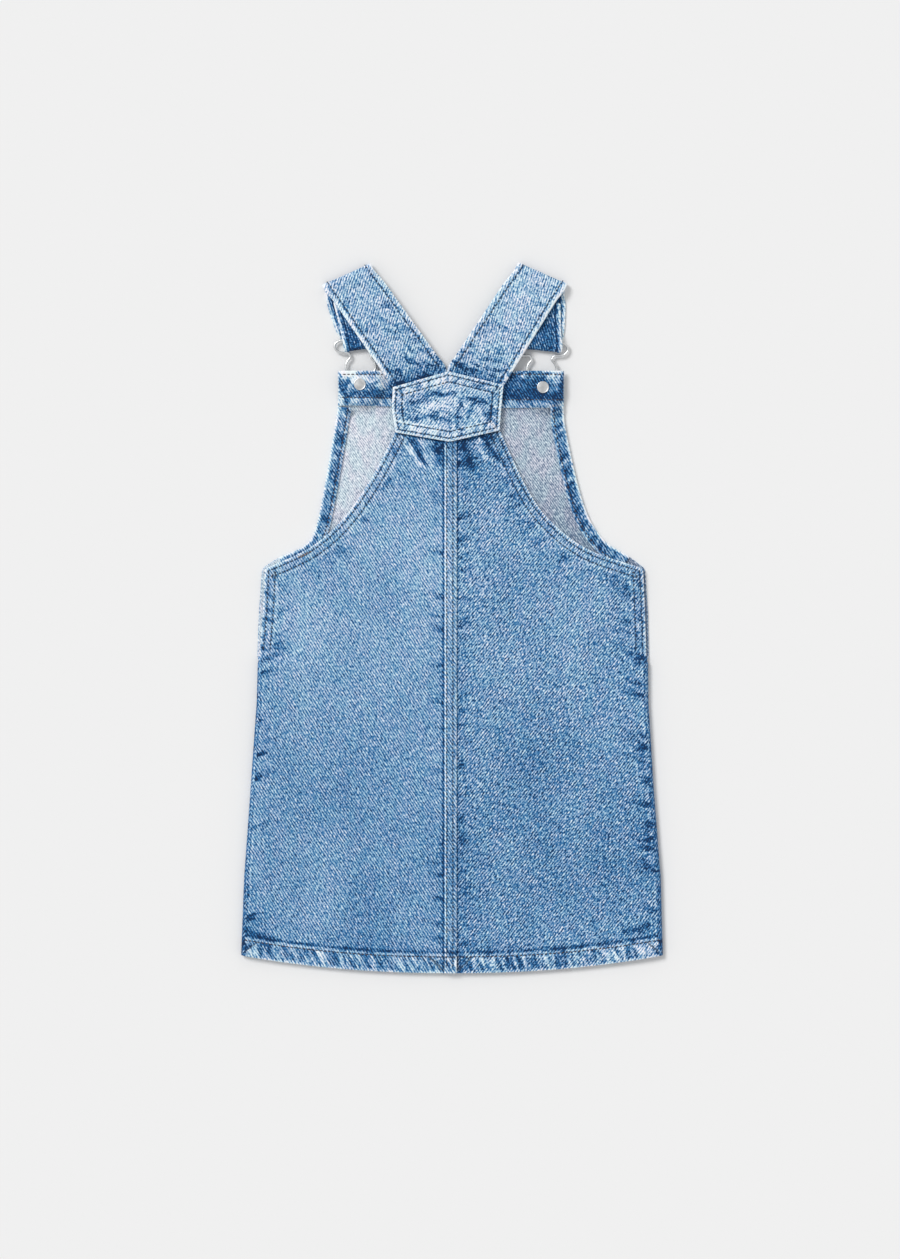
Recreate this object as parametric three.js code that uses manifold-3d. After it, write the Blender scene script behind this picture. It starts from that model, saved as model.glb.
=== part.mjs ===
// A child's denim pinafore dress laid flat with its back upwards: the front panel with its bib lies on
// the table, the two back panels lie on it, and the shoulder straps fold over and hook on the bib.
// Millimetres, +X to the right, +Y towards the shoulders, +Z up from the table.
import * as THREE from "three";
import { mergeVertices } from "three/addons/utils/BufferGeometryUtils.js";
import Module from "manifold-3d";

const wasm = await Module();
wasm.setup();

// ---------------------------------------------------------------- driving sizes
const CLOTH = 1.2; // one ply of washed denim
const HEM_PLY = 2.2; // the same cloth where the hem is turned
const STRAP_PLY = 1.6; // a strap: two plies pressed and topstitched
const GAP = 0.3; // between pieces at a seam
const SIDE_GAP = 0.9; // at the side seams, where the edges meet on the round of the fold
const FOLD = 2.8; // outside radius of the cloth where it folds at the side

const HALF_HEM = 147.5; // half the width of the hem
const HEM_Y = -248.2; // lowest point of the hem, at the centre
const HEM_RISE = 12.4; // how far the hem curves up at the side seams
const HEM_DEPTH = 11;
const OPEN_BOTTOM = -27; // the side openings run from here
const OPEN_TOP = 34; // up to the underarm
const BIB_TOP = 172;
const BAND_BOTTOM = 147.5; // lower edge of the facing inside the bib top
const BIB_HEM = 8.5; // turned armhole edge of the bib
const LAP_LEFT = -4.8; // the felled centre-back seam
const LAP_RIGHT = 2.9;

const SIDES = [
  // folded outline of the front, and edge of the back panels, up the side
  { y: -236, left: -147.5, right: 147.5, backLeft: -144.9, backRight: 144.6 },
  { y: -181, left: -145.4, right: 146.0, backLeft: -143.8, backRight: 142.8 },
  { y: -120, left: -141.0, right: 141.2, backLeft: -139.8, backRight: 139.4 },
  { y: -58, left: -136.6, right: 137.4, backLeft: -135.6, backRight: 136.2 },
  { y: -28, left: -135.8, right: 137.3, backLeft: -134.6, backRight: 135.6 },
  { y: 4, left: -134.6, right: 136.6, backLeft: -131.8, backRight: 134.6 },
  { y: 34, left: -132.4, right: 134.6, backLeft: -130.2, backRight: 133.2 },
];
const BIB_SIDE = {
  left: [
    [-132.4, 34],
    [-121.3, 41.3],
    [-103.9, 49.4],
    [-95.4, 61],
    [-88.9, 90.7],
    [-81.2, 135.5],
    [-79.1, 152],
    [-79.1, BIB_TOP],
  ],
  right: [
    [134.6, 34],
    [122.9, 42.7],
    [108, 52],
    [96.5, 67.5],
    [88.2, 90.7],
    [79.4, 130],
    [77.7, 147],
    [77.7, BIB_TOP],
  ],
};
const BACK_ARMHOLE = {
  left: [
    [-130.2, 34],
    [-99.9, 48],
    [-77.1, 67.5],
    [-56.7, 96.3],
    [-39.1, 129.8],
    [-36, 137],
  ],
  right: [
    [133.2, 34],
    [94.3, 47.7],
    [67.8, 68.3],
    [51.7, 91.2],
    [33.5, 129.8],
    [30.5, 137],
  ],
};
const BACK_REST = [
  // height of the back panels' upper face where they lie on the front
  { y: -250, top: 4.9 },
  { y: -222, top: 4.9 },
  { y: -195, top: 3.8 },
  { y: -45, top: 3.8 },
  { y: 15, top: 4.4 },
  { y: 140, top: 4.4 },
];
const YOKE = {
  // the six-sided patch: corners down its left side, its middle and its right side
  thick: 1.2,
  left: [
    [-41, 160.6],
    [-41.7, 145.3],
    [-39.2, 129.6],
  ],
  middle: [
    [-2.3, 171.5],
    [-2, 147],
    [-1.7, 123.1],
  ],
  right: [
    [35.6, 162.1],
    [34, 145.3],
    [32.9, 130.9],
  ],
  under: 6.0, // underside at the middle, over the seam
  fall: 0.5, // lower at the sides
};
const BUTTON = {
  head: { radius: 8, thick: 1.7 },
  neck: { radius: 1.7 },
  shank: { radius: 1.3 },
  cap: { radius: 4.2, thick: 1.0 },
  hole: 1.8,
  lift: 4.3, // the bib's outer face here, held up by the head and the buckle wire
  liftInner: 12.2,
  liftOuter: 20,
};
const BUTTON_AT = { left: [-64.4, 162.8], right: [63.5, 160.8] };
const WIRE = {
  radius: 0.9,
  z: 2.9,
  sides: 8,
  steps: 72,
  // half of the buckle's wire from the middle of the bar, round the ear and the keyhole to the shank
  half: [
    [0, 31],
    [9, 31],
    [14.4, 30.8],
    [17.6, 28.9],
    [18.1, 26],
    [15.8, 23],
    [12, 22.2],
    [8.4, 21.9],
    [7.2, 19.6],
    [9.6, 16],
    [10.3, 11.5],
    [7.2, 6.6],
    [4.1, 2.6],
    [3.6, -0.8],
    [0, -3.6],
  ],
};
const BUCKLE_AT = { left: [-63.8, 162.8], right: [62.8, 160.8] };

const STRAPS = {
  // each station: the strap's armhole edge, its neck edge, and the height of the upper face
  left: {
    back: [
      { arm: [-30, 146], neck: [-4, 152], top: 5.2 },
      { arm: [-37, 155], neck: [-4, 163], top: 5.2 },
      { arm: [-42, 162.8], neck: [-4.9, 174.7], top: 5.2 },
      { arm: [-47, 170.1], neck: [-10.4, 182.3], top: 6.5 },
      { arm: [-54, 180.2], neck: [-18, 192.9], top: 7.4 },
      { arm: [-62, 191.8], neck: [-26.8, 205], top: 7.7 },
      { arm: [-72, 206.3], neck: [-37.7, 220.2], top: 7.3 },
      { arm: [-82, 220.8], neck: [-48.6, 235.3], top: 6.5 },
    ],
    shoulder: { arm: [-90.3, 232.8], neck: [-57.4, 247.5], height: 6.2 },
    front: [
      { arm: [-86.6, 218.5], neck: [-53, 229.6] },
      { arm: [-80.8, 201], neck: [-46.6, 208] },
    ],
    bar: { arm: [-74.8, 185.9], neck: [-47.4, 189.4], height: 5.75 },
    tail: [
      { arm: [-76.4, 195.8], neck: [-47.4, 199.6], top: 5.75 },
      { arm: [-77.9, 202], neck: [-46.4, 206], top: 3.6 },
      { arm: [-82.4, 220], neck: [-50, 224.5], top: 3.6 },
    ],
  },
  right: {
    back: [
      { arm: [24, 146], neck: [-3, 152], top: 5.2 },
      { arm: [30.5, 155], neck: [-3, 163], top: 5.2 },
      { arm: [35.7, 162.1], neck: [-2.3, 174.7], top: 5.2 },
      { arm: [40.1, 169.3], neck: [2.5, 181.9], top: 6.5 },
      { arm: [46.8, 180], neck: [9.3, 192.2], top: 7.4 },
      { arm: [54.2, 191.9], neck: [17.3, 204.2], top: 7.7 },
      { arm: [63.1, 206.3], neck: [26.8, 218.5], top: 7.3 },
      { arm: [72.2, 221], neck: [36.6, 233.2], top: 6.5 },
    ],
    shoulder: { arm: [80.4, 233.4], neck: [46.9, 248.2], height: 6.2 },
    front: [
      { arm: [79, 217], neck: [46, 226] },
      { arm: [78.2, 202], neck: [45.6, 208] },
    ],
    bar: { arm: [76.4, 185.3], neck: [46.4, 188.1], height: 5.75 },
    tail: [
      { arm: [76.2, 194.8], neck: [46.4, 198.2], top: 5.75 },
      { arm: [75.8, 201], neck: [46, 205], top: 3.6 },
      { arm: [75.4, 219], neck: [45.6, 223], top: 3.6 },
    ],
  },
};

const material = (color, roughness, metalness = 0) =>
  new THREE.MeshStandardMaterial({ color, roughness, metalness });
const DENIM = material(0x7fa3c8, 0.9);
const DENIM_DARK = material(0x2f5a86, 0.9);
const STEEL = material(0xc9c9c6, 0.3, 1);

// ---------------------------------------------------------------- helpers
const { lerp, smoothstep } = THREE.MathUtils;

// A column of a table at a height, straight between its rows.
function atHeight(table, y, column) {
  let i = 1;
  while (i < table.length - 1 && table[i].y < y) i += 1;
  const [a, b] = [table[i - 1], table[i]];
  const t = THREE.MathUtils.clamp((y - a.y) / (b.y - a.y), 0, 1);
  return lerp(a[column], b[column], t);
}

// A smooth curve through a few points, and its x at a given height.
function smoothCurve(points) {
  const curve = new THREE.SplineCurve(points.map(([x, y]) => new THREE.Vector2(x, y)));
  const samples = curve.getPoints(160);
  const rows = samples.map((p) => ({ y: p.y, x: p.x }));
  return { curve, xAt: (y) => atHeight(rows, y, "x") };
}

// A closed cloth solid: a grid of points on the outer face, and the same grid moved in by the thickness.
function normalsOf(grid) {
  const rows = grid.length;
  const cols = grid[0].length;
  return grid.map((row, i) =>
    row.map((point, j) => {
      const up = grid[Math.min(i + 1, rows - 1)][j].clone().sub(grid[Math.max(i - 1, 0)][j]);
      const across = row[Math.min(j + 1, cols - 1)].clone().sub(row[Math.max(j - 1, 0)]);
      return across.cross(up).normalize();
    }),
  );
}

function moved(grid, distance) {
  const normals = normalsOf(grid);
  return grid.map((row, i) => row.map((p, j) => p.clone().addScaledVector(normals[i][j], distance)));
}

function clothSolid(outer, thickness) {
  const rows = outer.length;
  const cols = outer[0].length;
  const normals = normalsOf(outer);
  const thick = (i, j) => (typeof thickness === "function" ? thickness(i, j) : thickness);
  const inner = outer.map((row, i) =>
    row.map((p, j) => p.clone().addScaledVector(normals[i][j], -thick(i, j))),
  );
  const position = [...outer.flat(), ...inner.flat()].flatMap((p) => [p.x, p.y, p.z]);
  const index = [];
  const quad = (a, b, c, d) => index.push(a, b, c, a, c, d);
  const top = (i, j) => i * cols + j;
  const under = (i, j) => rows * cols + i * cols + j;
  for (let i = 0; i < rows - 1; i += 1) {
    for (let j = 0; j < cols - 1; j += 1) {
      quad(top(i, j), top(i, j + 1), top(i + 1, j + 1), top(i + 1, j));
      quad(under(i, j), under(i + 1, j), under(i + 1, j + 1), under(i, j + 1));
    }
    quad(top(i, 0), top(i + 1, 0), under(i + 1, 0), under(i, 0));
    quad(top(i, cols - 1), under(i, cols - 1), under(i + 1, cols - 1), top(i + 1, cols - 1));
  }
  for (let j = 0; j < cols - 1; j += 1) {
    quad(top(0, j), under(0, j), under(0, j + 1), top(0, j + 1));
    quad(top(rows - 1, j), top(rows - 1, j + 1), under(rows - 1, j + 1), under(rows - 1, j));
  }
  const geometry = new THREE.BufferGeometry();
  geometry.setAttribute("position", new THREE.Float32BufferAttribute(position, 3));
  geometry.setIndex(index);
  return geometry;
}

function manifoldOf(geometry) {
  const bare = geometry.clone();
  bare.deleteAttribute("normal");
  bare.deleteAttribute("uv");
  const merged = mergeVertices(bare, 1e-4);
  return new wasm.Manifold(
    new wasm.Mesh({
      numProp: 3,
      vertProperties: new Float32Array(merged.attributes.position.array),
      triVerts: new Uint32Array(merged.index.array),
    }),
  );
}

function geometryOf(manifold) {
  const mesh = manifold.getMesh();
  const geometry = new THREE.BufferGeometry();
  geometry.setAttribute("position", new THREE.Float32BufferAttribute(mesh.vertProperties, 3));
  geometry.setIndex(new THREE.BufferAttribute(mesh.triVerts, 1));
  return geometry;
}

// The holes that the two button shanks need.
function withButtonHoles(geometry) {
  let body = manifoldOf(geometry);
  for (const [x, y] of Object.values(BUTTON_AT)) {
    const punch = new THREE.CylinderGeometry(BUTTON.hole, BUTTON.hole, 20, 16);
    punch.rotateX(Math.PI / 2).translate(x, y, BUTTON.lift);
    body = body.subtract(manifoldOf(punch));
  }
  return geometryOf(body);
}

const pinafore = new THREE.Group();
function add(name, geometry, finish) {
  geometry.computeVertexNormals();
  const mesh = new THREE.Mesh(geometry, finish);
  mesh.name = name;
  pinafore.add(mesh);
}

// ---------------------------------------------------------------- shared form
const hemAt = (x) => HEM_Y + HEM_RISE * Math.pow(Math.abs(x) / HALF_HEM, 2.2);
const sideFoot = HEM_Y + HEM_RISE;

// Height of a point that is level with sideY at the side: the hem curves down to the centre.
const levelAt = (x, sideY) => {
  const t = THREE.MathUtils.clamp((sideY - sideFoot) / (OPEN_TOP - sideFoot), 0, 1);
  return sideY > OPEN_TOP ? sideY : lerp(hemAt(x), OPEN_TOP, t);
};

// 1 where front and back are joined at a folded side, 0 beside the side openings.
const folded = (y) => 1 - smoothstep(y, OPEN_BOTTOM - 5, OPEN_BOTTOM + 1);

// How far the bib is held up over the buttons and the buckle wires that run from them to its top.
function bibLift(x, y) {
  const away = ([bx, by]) => Math.hypot(x - bx, y - THREE.MathUtils.clamp(y, by, BIB_TOP));
  const near = Math.min(...Object.values(BUTTON_AT).map(away));
  return BUTTON.lift * (1 - smoothstep(near, BUTTON.liftInner, BUTTON.liftOuter));
}

const bibSide = { left: smoothCurve(BIB_SIDE.left), right: smoothCurve(BIB_SIDE.right) };
const armhole = { left: smoothCurve(BACK_ARMHOLE.left), right: smoothCurve(BACK_ARMHOLE.right) };

// ---------------------------------------------------------------- front panel with its bib
const EDGE_COLUMNS = [0, 1.6, 3.2, 4.8, 6.4, 8.6];
const MIDDLE_COLUMNS = 9;
const FRONT_LEVELS = [
  ...[-235.8, -230, -225, -224, -200, -165, -130, -95, -62, -40, -33, -30, -27, -22, 0, 20, OPEN_TOP],
  ...[36.5, 39, 42, 45.5, 49.5, 54, 61, 74, 91, 113, 134, 143, BAND_BOTTOM, 153, 158, 163, 167.5, BIB_TOP],
];

// Outer face of the front at one level, a given way along the cloth in from one side.
function frontPoint(side, level, along) {
  const sign = side === "left" ? -1 : 1;
  const inSkirt = level <= OPEN_TOP;
  const outline = inSkirt ? atHeight(SIDES, level, side) : bibSide[side].xAt(level);
  const flatX = outline - sign * along;
  const weight = inSkirt ? folded(level) : 0;
  if (weight === 0) return new THREE.Vector3(flatX, levelAt(flatX, level), bibLift(flatX, level));
  const seam = atHeight(SIDES, level, side === "left" ? "backLeft" : "backRight");
  const inset = Math.abs(outline - seam);
  const turn = Math.PI - Math.asin((FOLD - inset) / FOLD);
  const angle = Math.max(0, turn - along / FOLD);
  const past = Math.max(0, along - turn * FOLD);
  const x = outline - sign * (FOLD + past - FOLD * Math.sin(angle));
  const mixed = lerp(flatX, x, weight);
  return new THREE.Vector3(mixed, levelAt(mixed, level), weight * FOLD * (1 - Math.cos(angle)));
}

// The length of cloth from one side to the middle of the front.
function clothToMiddle(side, level) {
  const wellIn = 40;
  return wellIn + Math.abs(frontPoint(side, level, wellIn).x);
}

function frontRow(level) {
  const half = (side) => {
    const length = clothToMiddle(side, level);
    const last = EDGE_COLUMNS.at(-1);
    const middle = Array.from({ length: MIDDLE_COLUMNS }, (_, k) =>
      lerp(last, length, (k + 1) / MIDDLE_COLUMNS),
    );
    return [...EDGE_COLUMNS, ...middle].map((along) => frontPoint(side, level, along));
  };
  return [...half("right"), ...half("left").reverse().slice(1)];
}

const frontGrid = FRONT_LEVELS.map(frontRow);

// Two plies where the hem is turned, one elsewhere and where the hem meets a seam.
const hemPly = (levels, grid, margin) => (i, j) => {
  const inside = j >= margin && j < grid[0].length - margin;
  return inside && levels[i] <= sideFoot + HEM_DEPTH ? HEM_PLY : CLOTH;
};
add("front_panel", withButtonHoles(clothSolid(frontGrid, hemPly(FRONT_LEVELS, frontGrid, 5))), DENIM);

const bandRows = frontGrid.filter((_, i) => FRONT_LEVELS[i] >= BAND_BOTTOM);
const onFront = (grid) => moved(grid, -(2 * CLOTH + GAP));
add("bib_top_facing", withButtonHoles(turned(clothSolid(onFront(bandRows), -CLOTH))), DENIM_DARK);

// Turns a solid's faces round, for a grid that was thickened the other way.
function turned(geometry) {
  const index = geometry.index.array;
  for (let i = 0; i < index.length; i += 3) [index[i + 1], index[i + 2]] = [index[i + 2], index[i + 1]];
  return geometry;
}

// ---------------------------------------------------------------- turned armhole edges of the bib
for (const side of ["left", "right"]) {
  const inward = side === "left" ? 1 : -1;
  const { curve } = bibSide[side];
  const rows = [];
  const steps = 26;
  for (let i = 0; i <= steps; i += 1) {
    const u = lerp(0.09, 0.86, i / steps);
    const p = curve.getPointAt(u);
    const t = curve.getTangentAt(u);
    const normal = new THREE.Vector2(t.y, -t.x).multiplyScalar(inward);
    if (p.y + normal.y * BIB_HEM < BAND_BOTTOM - GAP && p.y < BAND_BOTTOM - GAP)
      rows.push(
        [0, 0.5, 1].map((s) => {
          const q = p.clone().addScaledVector(normal, s * BIB_HEM);
          const lift = Math.max(bibLift(q.x, q.y), bibLift(q.x, q.y + 5));
          return new THREE.Vector3(q.x, q.y, lift + 2 * CLOTH + GAP);
        }),
      );
  }
  const grid = side === "left" ? rows : rows.map((row) => row.reverse());
  add("bib_edge_" + side, clothSolid(grid, CLOTH), DENIM_DARK);
}

// ---------------------------------------------------------------- back panels
const BACK_LEVELS = [
  ...[-235.8, -230, -225, -224, -200, -165, -130, -95, -62, -40, -33, -30, -27, -22, 0, 18, OPEN_TOP],
  ...[36, 38.5, 42, 47, 53, 60, 68, 80, 96, 113, 124],
];
const yokeFoot = (x) => {
  const [l, m, r] = [YOKE.left[2], YOKE.middle[2], YOKE.right[2]];
  const [a, b] = x < m[0] ? [l, m] : [m, r];
  return lerp(a[1], b[1], (x - a[0]) / (b[0] - a[0]));
};
const TUCK = 6; // how far the back panels run up under the yoke

// Upper face of a back panel: round at the folded side, lower towards the middle.
function backTop(side, x, y, level) {
  const rest = atHeight(BACK_REST, y, "top");
  const outline = Math.abs(atHeight(SIDES, level, side));
  const d = Math.max(0, outline - Math.abs(x));
  const round = d < FOLD ? FOLD + Math.sqrt(FOLD * FOLD - (FOLD - d) ** 2) : 2 * FOLD;
  const dropped = rest - 0.8 * (1 - smoothstep(level, 0, 25));
  const atSide = lerp(dropped, round, folded(level));
  return lerp(atSide, rest, smoothstep(d, FOLD, 45));
}

function backRow(side, level, top) {
  const sign = side === "left" ? -1 : 1;
  const column = side === "left" ? "backLeft" : "backRight";
  const edge =
    level <= OPEN_TOP ? atHeight(SIDES, level, column) - sign * SIDE_GAP : armhole[side].xAt(level);
  const inner = side === "left" ? LAP_LEFT - 1.6 : LAP_LEFT + 2;
  const lapped = side === "left" ? [LAP_LEFT, -1, LAP_RIGHT] : [];
  const near = [0, 0.8, 2, 8].map((d) => edge - sign * d);
  const rest = [0.12, 0.27, 0.43, 0.6, 0.78, 1].map((t) => lerp(near.at(-1), inner, t));
  return [...near, ...rest, ...lapped].map((x, i) => {
    const y = top ? yokeFoot(x) + TUCK : levelAt(x, level);
    const raised = i >= near.length + rest.length ? CLOTH + GAP : 0;
    return new THREE.Vector3(x, y, backTop(side, x, y, level) + raised);
  });
}

for (const side of ["left", "right"]) {
  const rows = [...BACK_LEVELS.map((level) => backRow(side, level, false)), backRow(side, 131, true)];
  const grid = side === "left" ? rows : rows.map((row) => row.reverse());
  add("back_" + side, clothSolid(grid, hemPly([...BACK_LEVELS, OPEN_TOP], grid, 3)), DENIM);
}

// ---------------------------------------------------------------- back yoke
{
  const corner = ([x, y]) => new THREE.Vector2(x, y);
  const down = (points, v) => {
    const k = v < 0.5 ? 0 : 1;
    return corner(points[k]).lerp(corner(points[k + 1]), v * 2 - k);
  };
  const rows = [1, 0.84, 0.67, 0.5, 0.33, 0.16, 0].map((v) => {
    const [l, m, r] = [down(YOKE.left, v), down(YOKE.middle, v), down(YOKE.right, v)];
    return [-1, -0.75, -0.5, -0.25, 0, 0.25, 0.5, 0.75, 1].map((u) => {
      const p = m.clone().lerp(u < 0 ? l : r, Math.abs(u));
      return new THREE.Vector3(p.x, p.y, YOKE.under + YOKE.thick - YOKE.fall * u * u);
    });
  });
  add("back_yoke", clothSolid(rows, YOKE.thick), DENIM);
}

// ---------------------------------------------------------------- straps
const point3 = ([x, y], z) => new THREE.Vector3(x, y, z);

// Stations round a fold: line is the outermost line of the fold, inward points back into the strap.
function foldStations({ arm, neck, height }, inward, fromTop) {
  const radius = height / 2;
  const steps = 8;
  return Array.from({ length: steps + 1 }, (_, i) => {
    const angle = (Math.PI * i) / steps;
    const back = inward.clone().multiplyScalar(radius * (1 - Math.sin(angle)));
    const z = radius + radius * Math.cos(angle) * (fromTop ? 1 : -1);
    return [point3(arm, z).add(back), point3(neck, z).add(back)];
  });
}

for (const side of ["left", "right"]) {
  const s = STRAPS[side];
  const inwardOf = ({ arm, neck }, sense) => {
    const d = new THREE.Vector3(neck[0] - arm[0], neck[1] - arm[1], 0).normalize();
    const n = new THREE.Vector3(d.y, -d.x, 0);
    return n.y * sense < 0 ? n.negate() : n;
  };
  const stations = [
    ...s.back.map(({ arm, neck, top }) => [point3(arm, top), point3(neck, top)]),
    ...foldStations(s.shoulder, inwardOf(s.shoulder, -1), true),
    ...s.front.map(({ arm, neck }) => [point3(arm, 0), point3(neck, 0)]),
    ...foldStations(s.bar, inwardOf(s.bar, 1), false),
    ...s.tail.map(({ arm, neck, top }) => [point3(arm, top), point3(neck, top)]),
  ];
  const grid = stations.map(([arm, neck]) => [0, 1 / 3, 2 / 3, 1].map((t) => arm.clone().lerp(neck, t)));
  add("strap_" + side, clothSolid(side === "left" ? grid : grid.map((r) => r.reverse()), STRAP_PLY), DENIM);
}

// ---------------------------------------------------------------- buckles and buttons
function wireLoop([cx, cy]) {
  const right = WIRE.half.map(([x, y]) => new THREE.Vector3(cx + x, cy + y, WIRE.z));
  const left = WIRE.half.slice(1, -1).map(([x, y]) => new THREE.Vector3(cx - x, cy + y, WIRE.z));
  const path = new THREE.CatmullRomCurve3([...right, ...left.reverse()], true, "centripetal");
  const position = [];
  const index = [];
  for (let i = 0; i < WIRE.steps; i += 1) {
    const centre = path.getPointAt(i / WIRE.steps);
    const along = path.getTangentAt(i / WIRE.steps);
    for (let k = 0; k < WIRE.sides; k += 1) {
      const a = (2 * Math.PI * k) / WIRE.sides;
      const out = WIRE.radius * Math.cos(a);
      position.push(
        centre.x + along.y * out,
        centre.y - along.x * out,
        centre.z + WIRE.radius * Math.sin(a),
      );
      const next = (k + 1) % WIRE.sides;
      const [row, rowNext] = [i * WIRE.sides, ((i + 1) % WIRE.steps) * WIRE.sides];
      index.push(row + k, rowNext + k, rowNext + next, row + k, rowNext + next, row + next);
    }
  }
  const geometry = new THREE.BufferGeometry();
  geometry.setAttribute("position", new THREE.Float32BufferAttribute(position, 3));
  geometry.setIndex(index);
  return geometry;
}

// A tack button: the head on the outside of the bib, the nail's cap on the inside.
function tackButton([x, y]) {
  const capFoot = BUTTON.lift + 2 * CLOTH + GAP + 0.2;
  const profile = [
    [0, 0],
    [BUTTON.head.radius - 0.6, 0],
    [BUTTON.head.radius, 0.6],
    [BUTTON.head.radius - 0.5, BUTTON.head.thick],
    [BUTTON.neck.radius, BUTTON.head.thick],
    [BUTTON.neck.radius, BUTTON.lift - 0.3],
    [BUTTON.shank.radius, BUTTON.lift - 0.1],
    [BUTTON.shank.radius, capFoot],
    [BUTTON.cap.radius, capFoot],
    [BUTTON.cap.radius - 0.1, capFoot + 0.45],
    [BUTTON.cap.radius - 0.8, capFoot + BUTTON.cap.thick - 0.1],
    [0, capFoot + BUTTON.cap.thick],
  ].map(([r, z]) => new THREE.Vector2(r, z));
  return new THREE.LatheGeometry(profile, 24).rotateX(Math.PI / 2).translate(x, y, 0);
}

for (const side of ["left", "right"]) {
  add("buckle_" + side, wireLoop(BUCKLE_AT[side]), STEEL);
  add("button_" + side, tackButton(BUTTON_AT[side]), STEEL);
}

export default pinafore;
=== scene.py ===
"""A child's denim pinafore dress, laid flat with its back upwards: the cloth, thread and metal round the
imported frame. Lengths in the tables are millimetres, and every mesh is made in metres."""
import math

import bpy
import numpy as np
from bpy.props import FloatProperty, FloatVectorProperty, PointerProperty
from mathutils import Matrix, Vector
from mathutils.bvhtree import BVHTree


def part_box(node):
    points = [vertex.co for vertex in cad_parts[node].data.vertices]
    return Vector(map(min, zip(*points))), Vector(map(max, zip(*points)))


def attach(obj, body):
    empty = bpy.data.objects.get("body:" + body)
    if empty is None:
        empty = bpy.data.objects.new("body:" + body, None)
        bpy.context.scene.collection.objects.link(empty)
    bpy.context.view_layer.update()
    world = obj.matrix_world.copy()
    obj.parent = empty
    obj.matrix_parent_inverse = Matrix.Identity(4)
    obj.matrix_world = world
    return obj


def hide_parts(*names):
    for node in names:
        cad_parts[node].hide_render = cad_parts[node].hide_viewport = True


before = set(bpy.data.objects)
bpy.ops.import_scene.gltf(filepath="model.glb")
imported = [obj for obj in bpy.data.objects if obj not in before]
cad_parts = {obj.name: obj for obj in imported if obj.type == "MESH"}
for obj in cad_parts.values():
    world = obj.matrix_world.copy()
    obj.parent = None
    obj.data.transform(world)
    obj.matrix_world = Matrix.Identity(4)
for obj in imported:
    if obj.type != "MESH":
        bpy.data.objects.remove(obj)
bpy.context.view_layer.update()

bl_info = {
    "name": "Denim pinafore dress",
    "version": (1, 0, 0),
    "blender": (4, 5, 0),
    "location": "View3D > Sidebar > Pinafore",
    "description": "Cloth, stitching and metal of a child's denim pinafore dress laid flat",
    "category": "Object",
}

MM = 0.001


def node_mm(node):
    """The low and high corners of a node's box, in millimetres."""
    low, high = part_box(node)
    return [v / MM for v in low], [v / MM for v in high]


# ---------------------------------------------------------------- sizes, mm
FRONT_LOW, FRONT_HIGH = node_mm("front_panel")
YOKE_TOP = node_mm("back_yoke")[1][2]
CLOTH = 1.2  # one layer of denim
STRAP_PLY = 1.6  # the doubled strap
GAP = 0.3  # between two pieces that are sewn together
FOLD = FRONT_HIGH[2] / 2  # radius of the side folds
HALF_HEM = FRONT_HIGH[0]
HEM_Y = FRONT_LOW[1]
HEM_RISE = 12.4  # how far the hem curves up to its ends
HEM_DEPTH = 11.0
SIDE_FOOT = HEM_Y + HEM_RISE
OPEN_BOTTOM, OPEN_TOP = -27.0, 34.0  # the side openings
BIB_TOP = 172.0
BIB_LIFT = 4.3  # the bib's rise over its button heads
BAND_BOTTOM = 147.5  # foot of the bib's facing, behind the yoke
BIB_HEM = 8.5
LAP_LEFT, LAP_RIGHT = -4.8, 2.9  # the felled centre-back seam
SEAM_GAP = 0.25
ARMHOLE_HEM = 8.7
YOKE_HEM = 7.6
FACING_HEM = 5.8
WIRE_RADIUS, WIRE_HEIGHT = 0.9, 2.9
ARMHOLE_ROWS = (2.2, 6.8)  # rows of stitches, in from the edge
YOKE_ROWS = (2.0, 6.6)
LAP_ROWS = (1.1, 5.4)
STRAP_ROW = 3.6
BIB_HEM_ROW = BIB_HEM - 1.8

# Outlines and heights, side by side for the left and the right.

SIDES = [
    {"y": -236, "left": -147.5, "right": 147.5, "back_left": -144.9, "back_right": 144.6},
    {"y": -181, "left": -145.4, "right": 146.0, "back_left": -143.8, "back_right": 142.8},
    {"y": -120, "left": -141.0, "right": 141.2, "back_left": -139.8, "back_right": 139.4},
    {"y": -58, "left": -136.6, "right": 137.4, "back_left": -135.6, "back_right": 136.2},
    {"y": -28, "left": -135.8, "right": 137.3, "back_left": -134.6, "back_right": 135.6},
    {"y": 4, "left": -134.6, "right": 136.6, "back_left": -131.8, "back_right": 134.6},
    {"y": 34, "left": -132.4, "right": 134.6, "back_left": -130.2, "back_right": 133.2},
]
BIB_SIDE = {
    "left": [(-132.4, 34), (-121.3, 41.3), (-103.9, 49.4), (-95.4, 61), (-88.9, 90.7),
             (-81.2, 135.5), (-79.1, 152), (-79.1, BIB_TOP)],
    "right": [(134.6, 34), (122.9, 42.7), (108, 52), (96.5, 67.5), (88.2, 90.7),
              (79.4, 130), (77.7, 147), (77.7, BIB_TOP)],
}
BACK_ARMHOLE = {
    "left": [(-130.2, 34), (-99.9, 48), (-77.1, 67.5), (-56.7, 96.3), (-39.1, 129.8), (-36, 137)],
    "right": [(133.2, 34), (94.3, 47.7), (67.8, 68.3), (51.7, 91.2), (33.5, 129.8), (30.5, 137)],
}
BACK_REST = [
    {"y": -250, "top": 4.9}, {"y": -222, "top": 4.9}, {"y": -195, "top": 3.8},
    {"y": -45, "top": 3.8}, {"y": 15, "top": 4.4}, {"y": 140, "top": 4.4},
]
YOKE = {
    "left": [(-41, 160.6), (-41.7, 145.3), (-39.2, 129.6)],
    "middle": [(-2.3, 171.5), (-2, 147), (-1.7, 123.1)],
    "right": [(35.6, 162.1), (34, 145.3), (32.9, 130.9)],
}
BUTTON_AT = {"left": (-64.4, 162.8), "right": (63.5, 160.8)}
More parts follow.
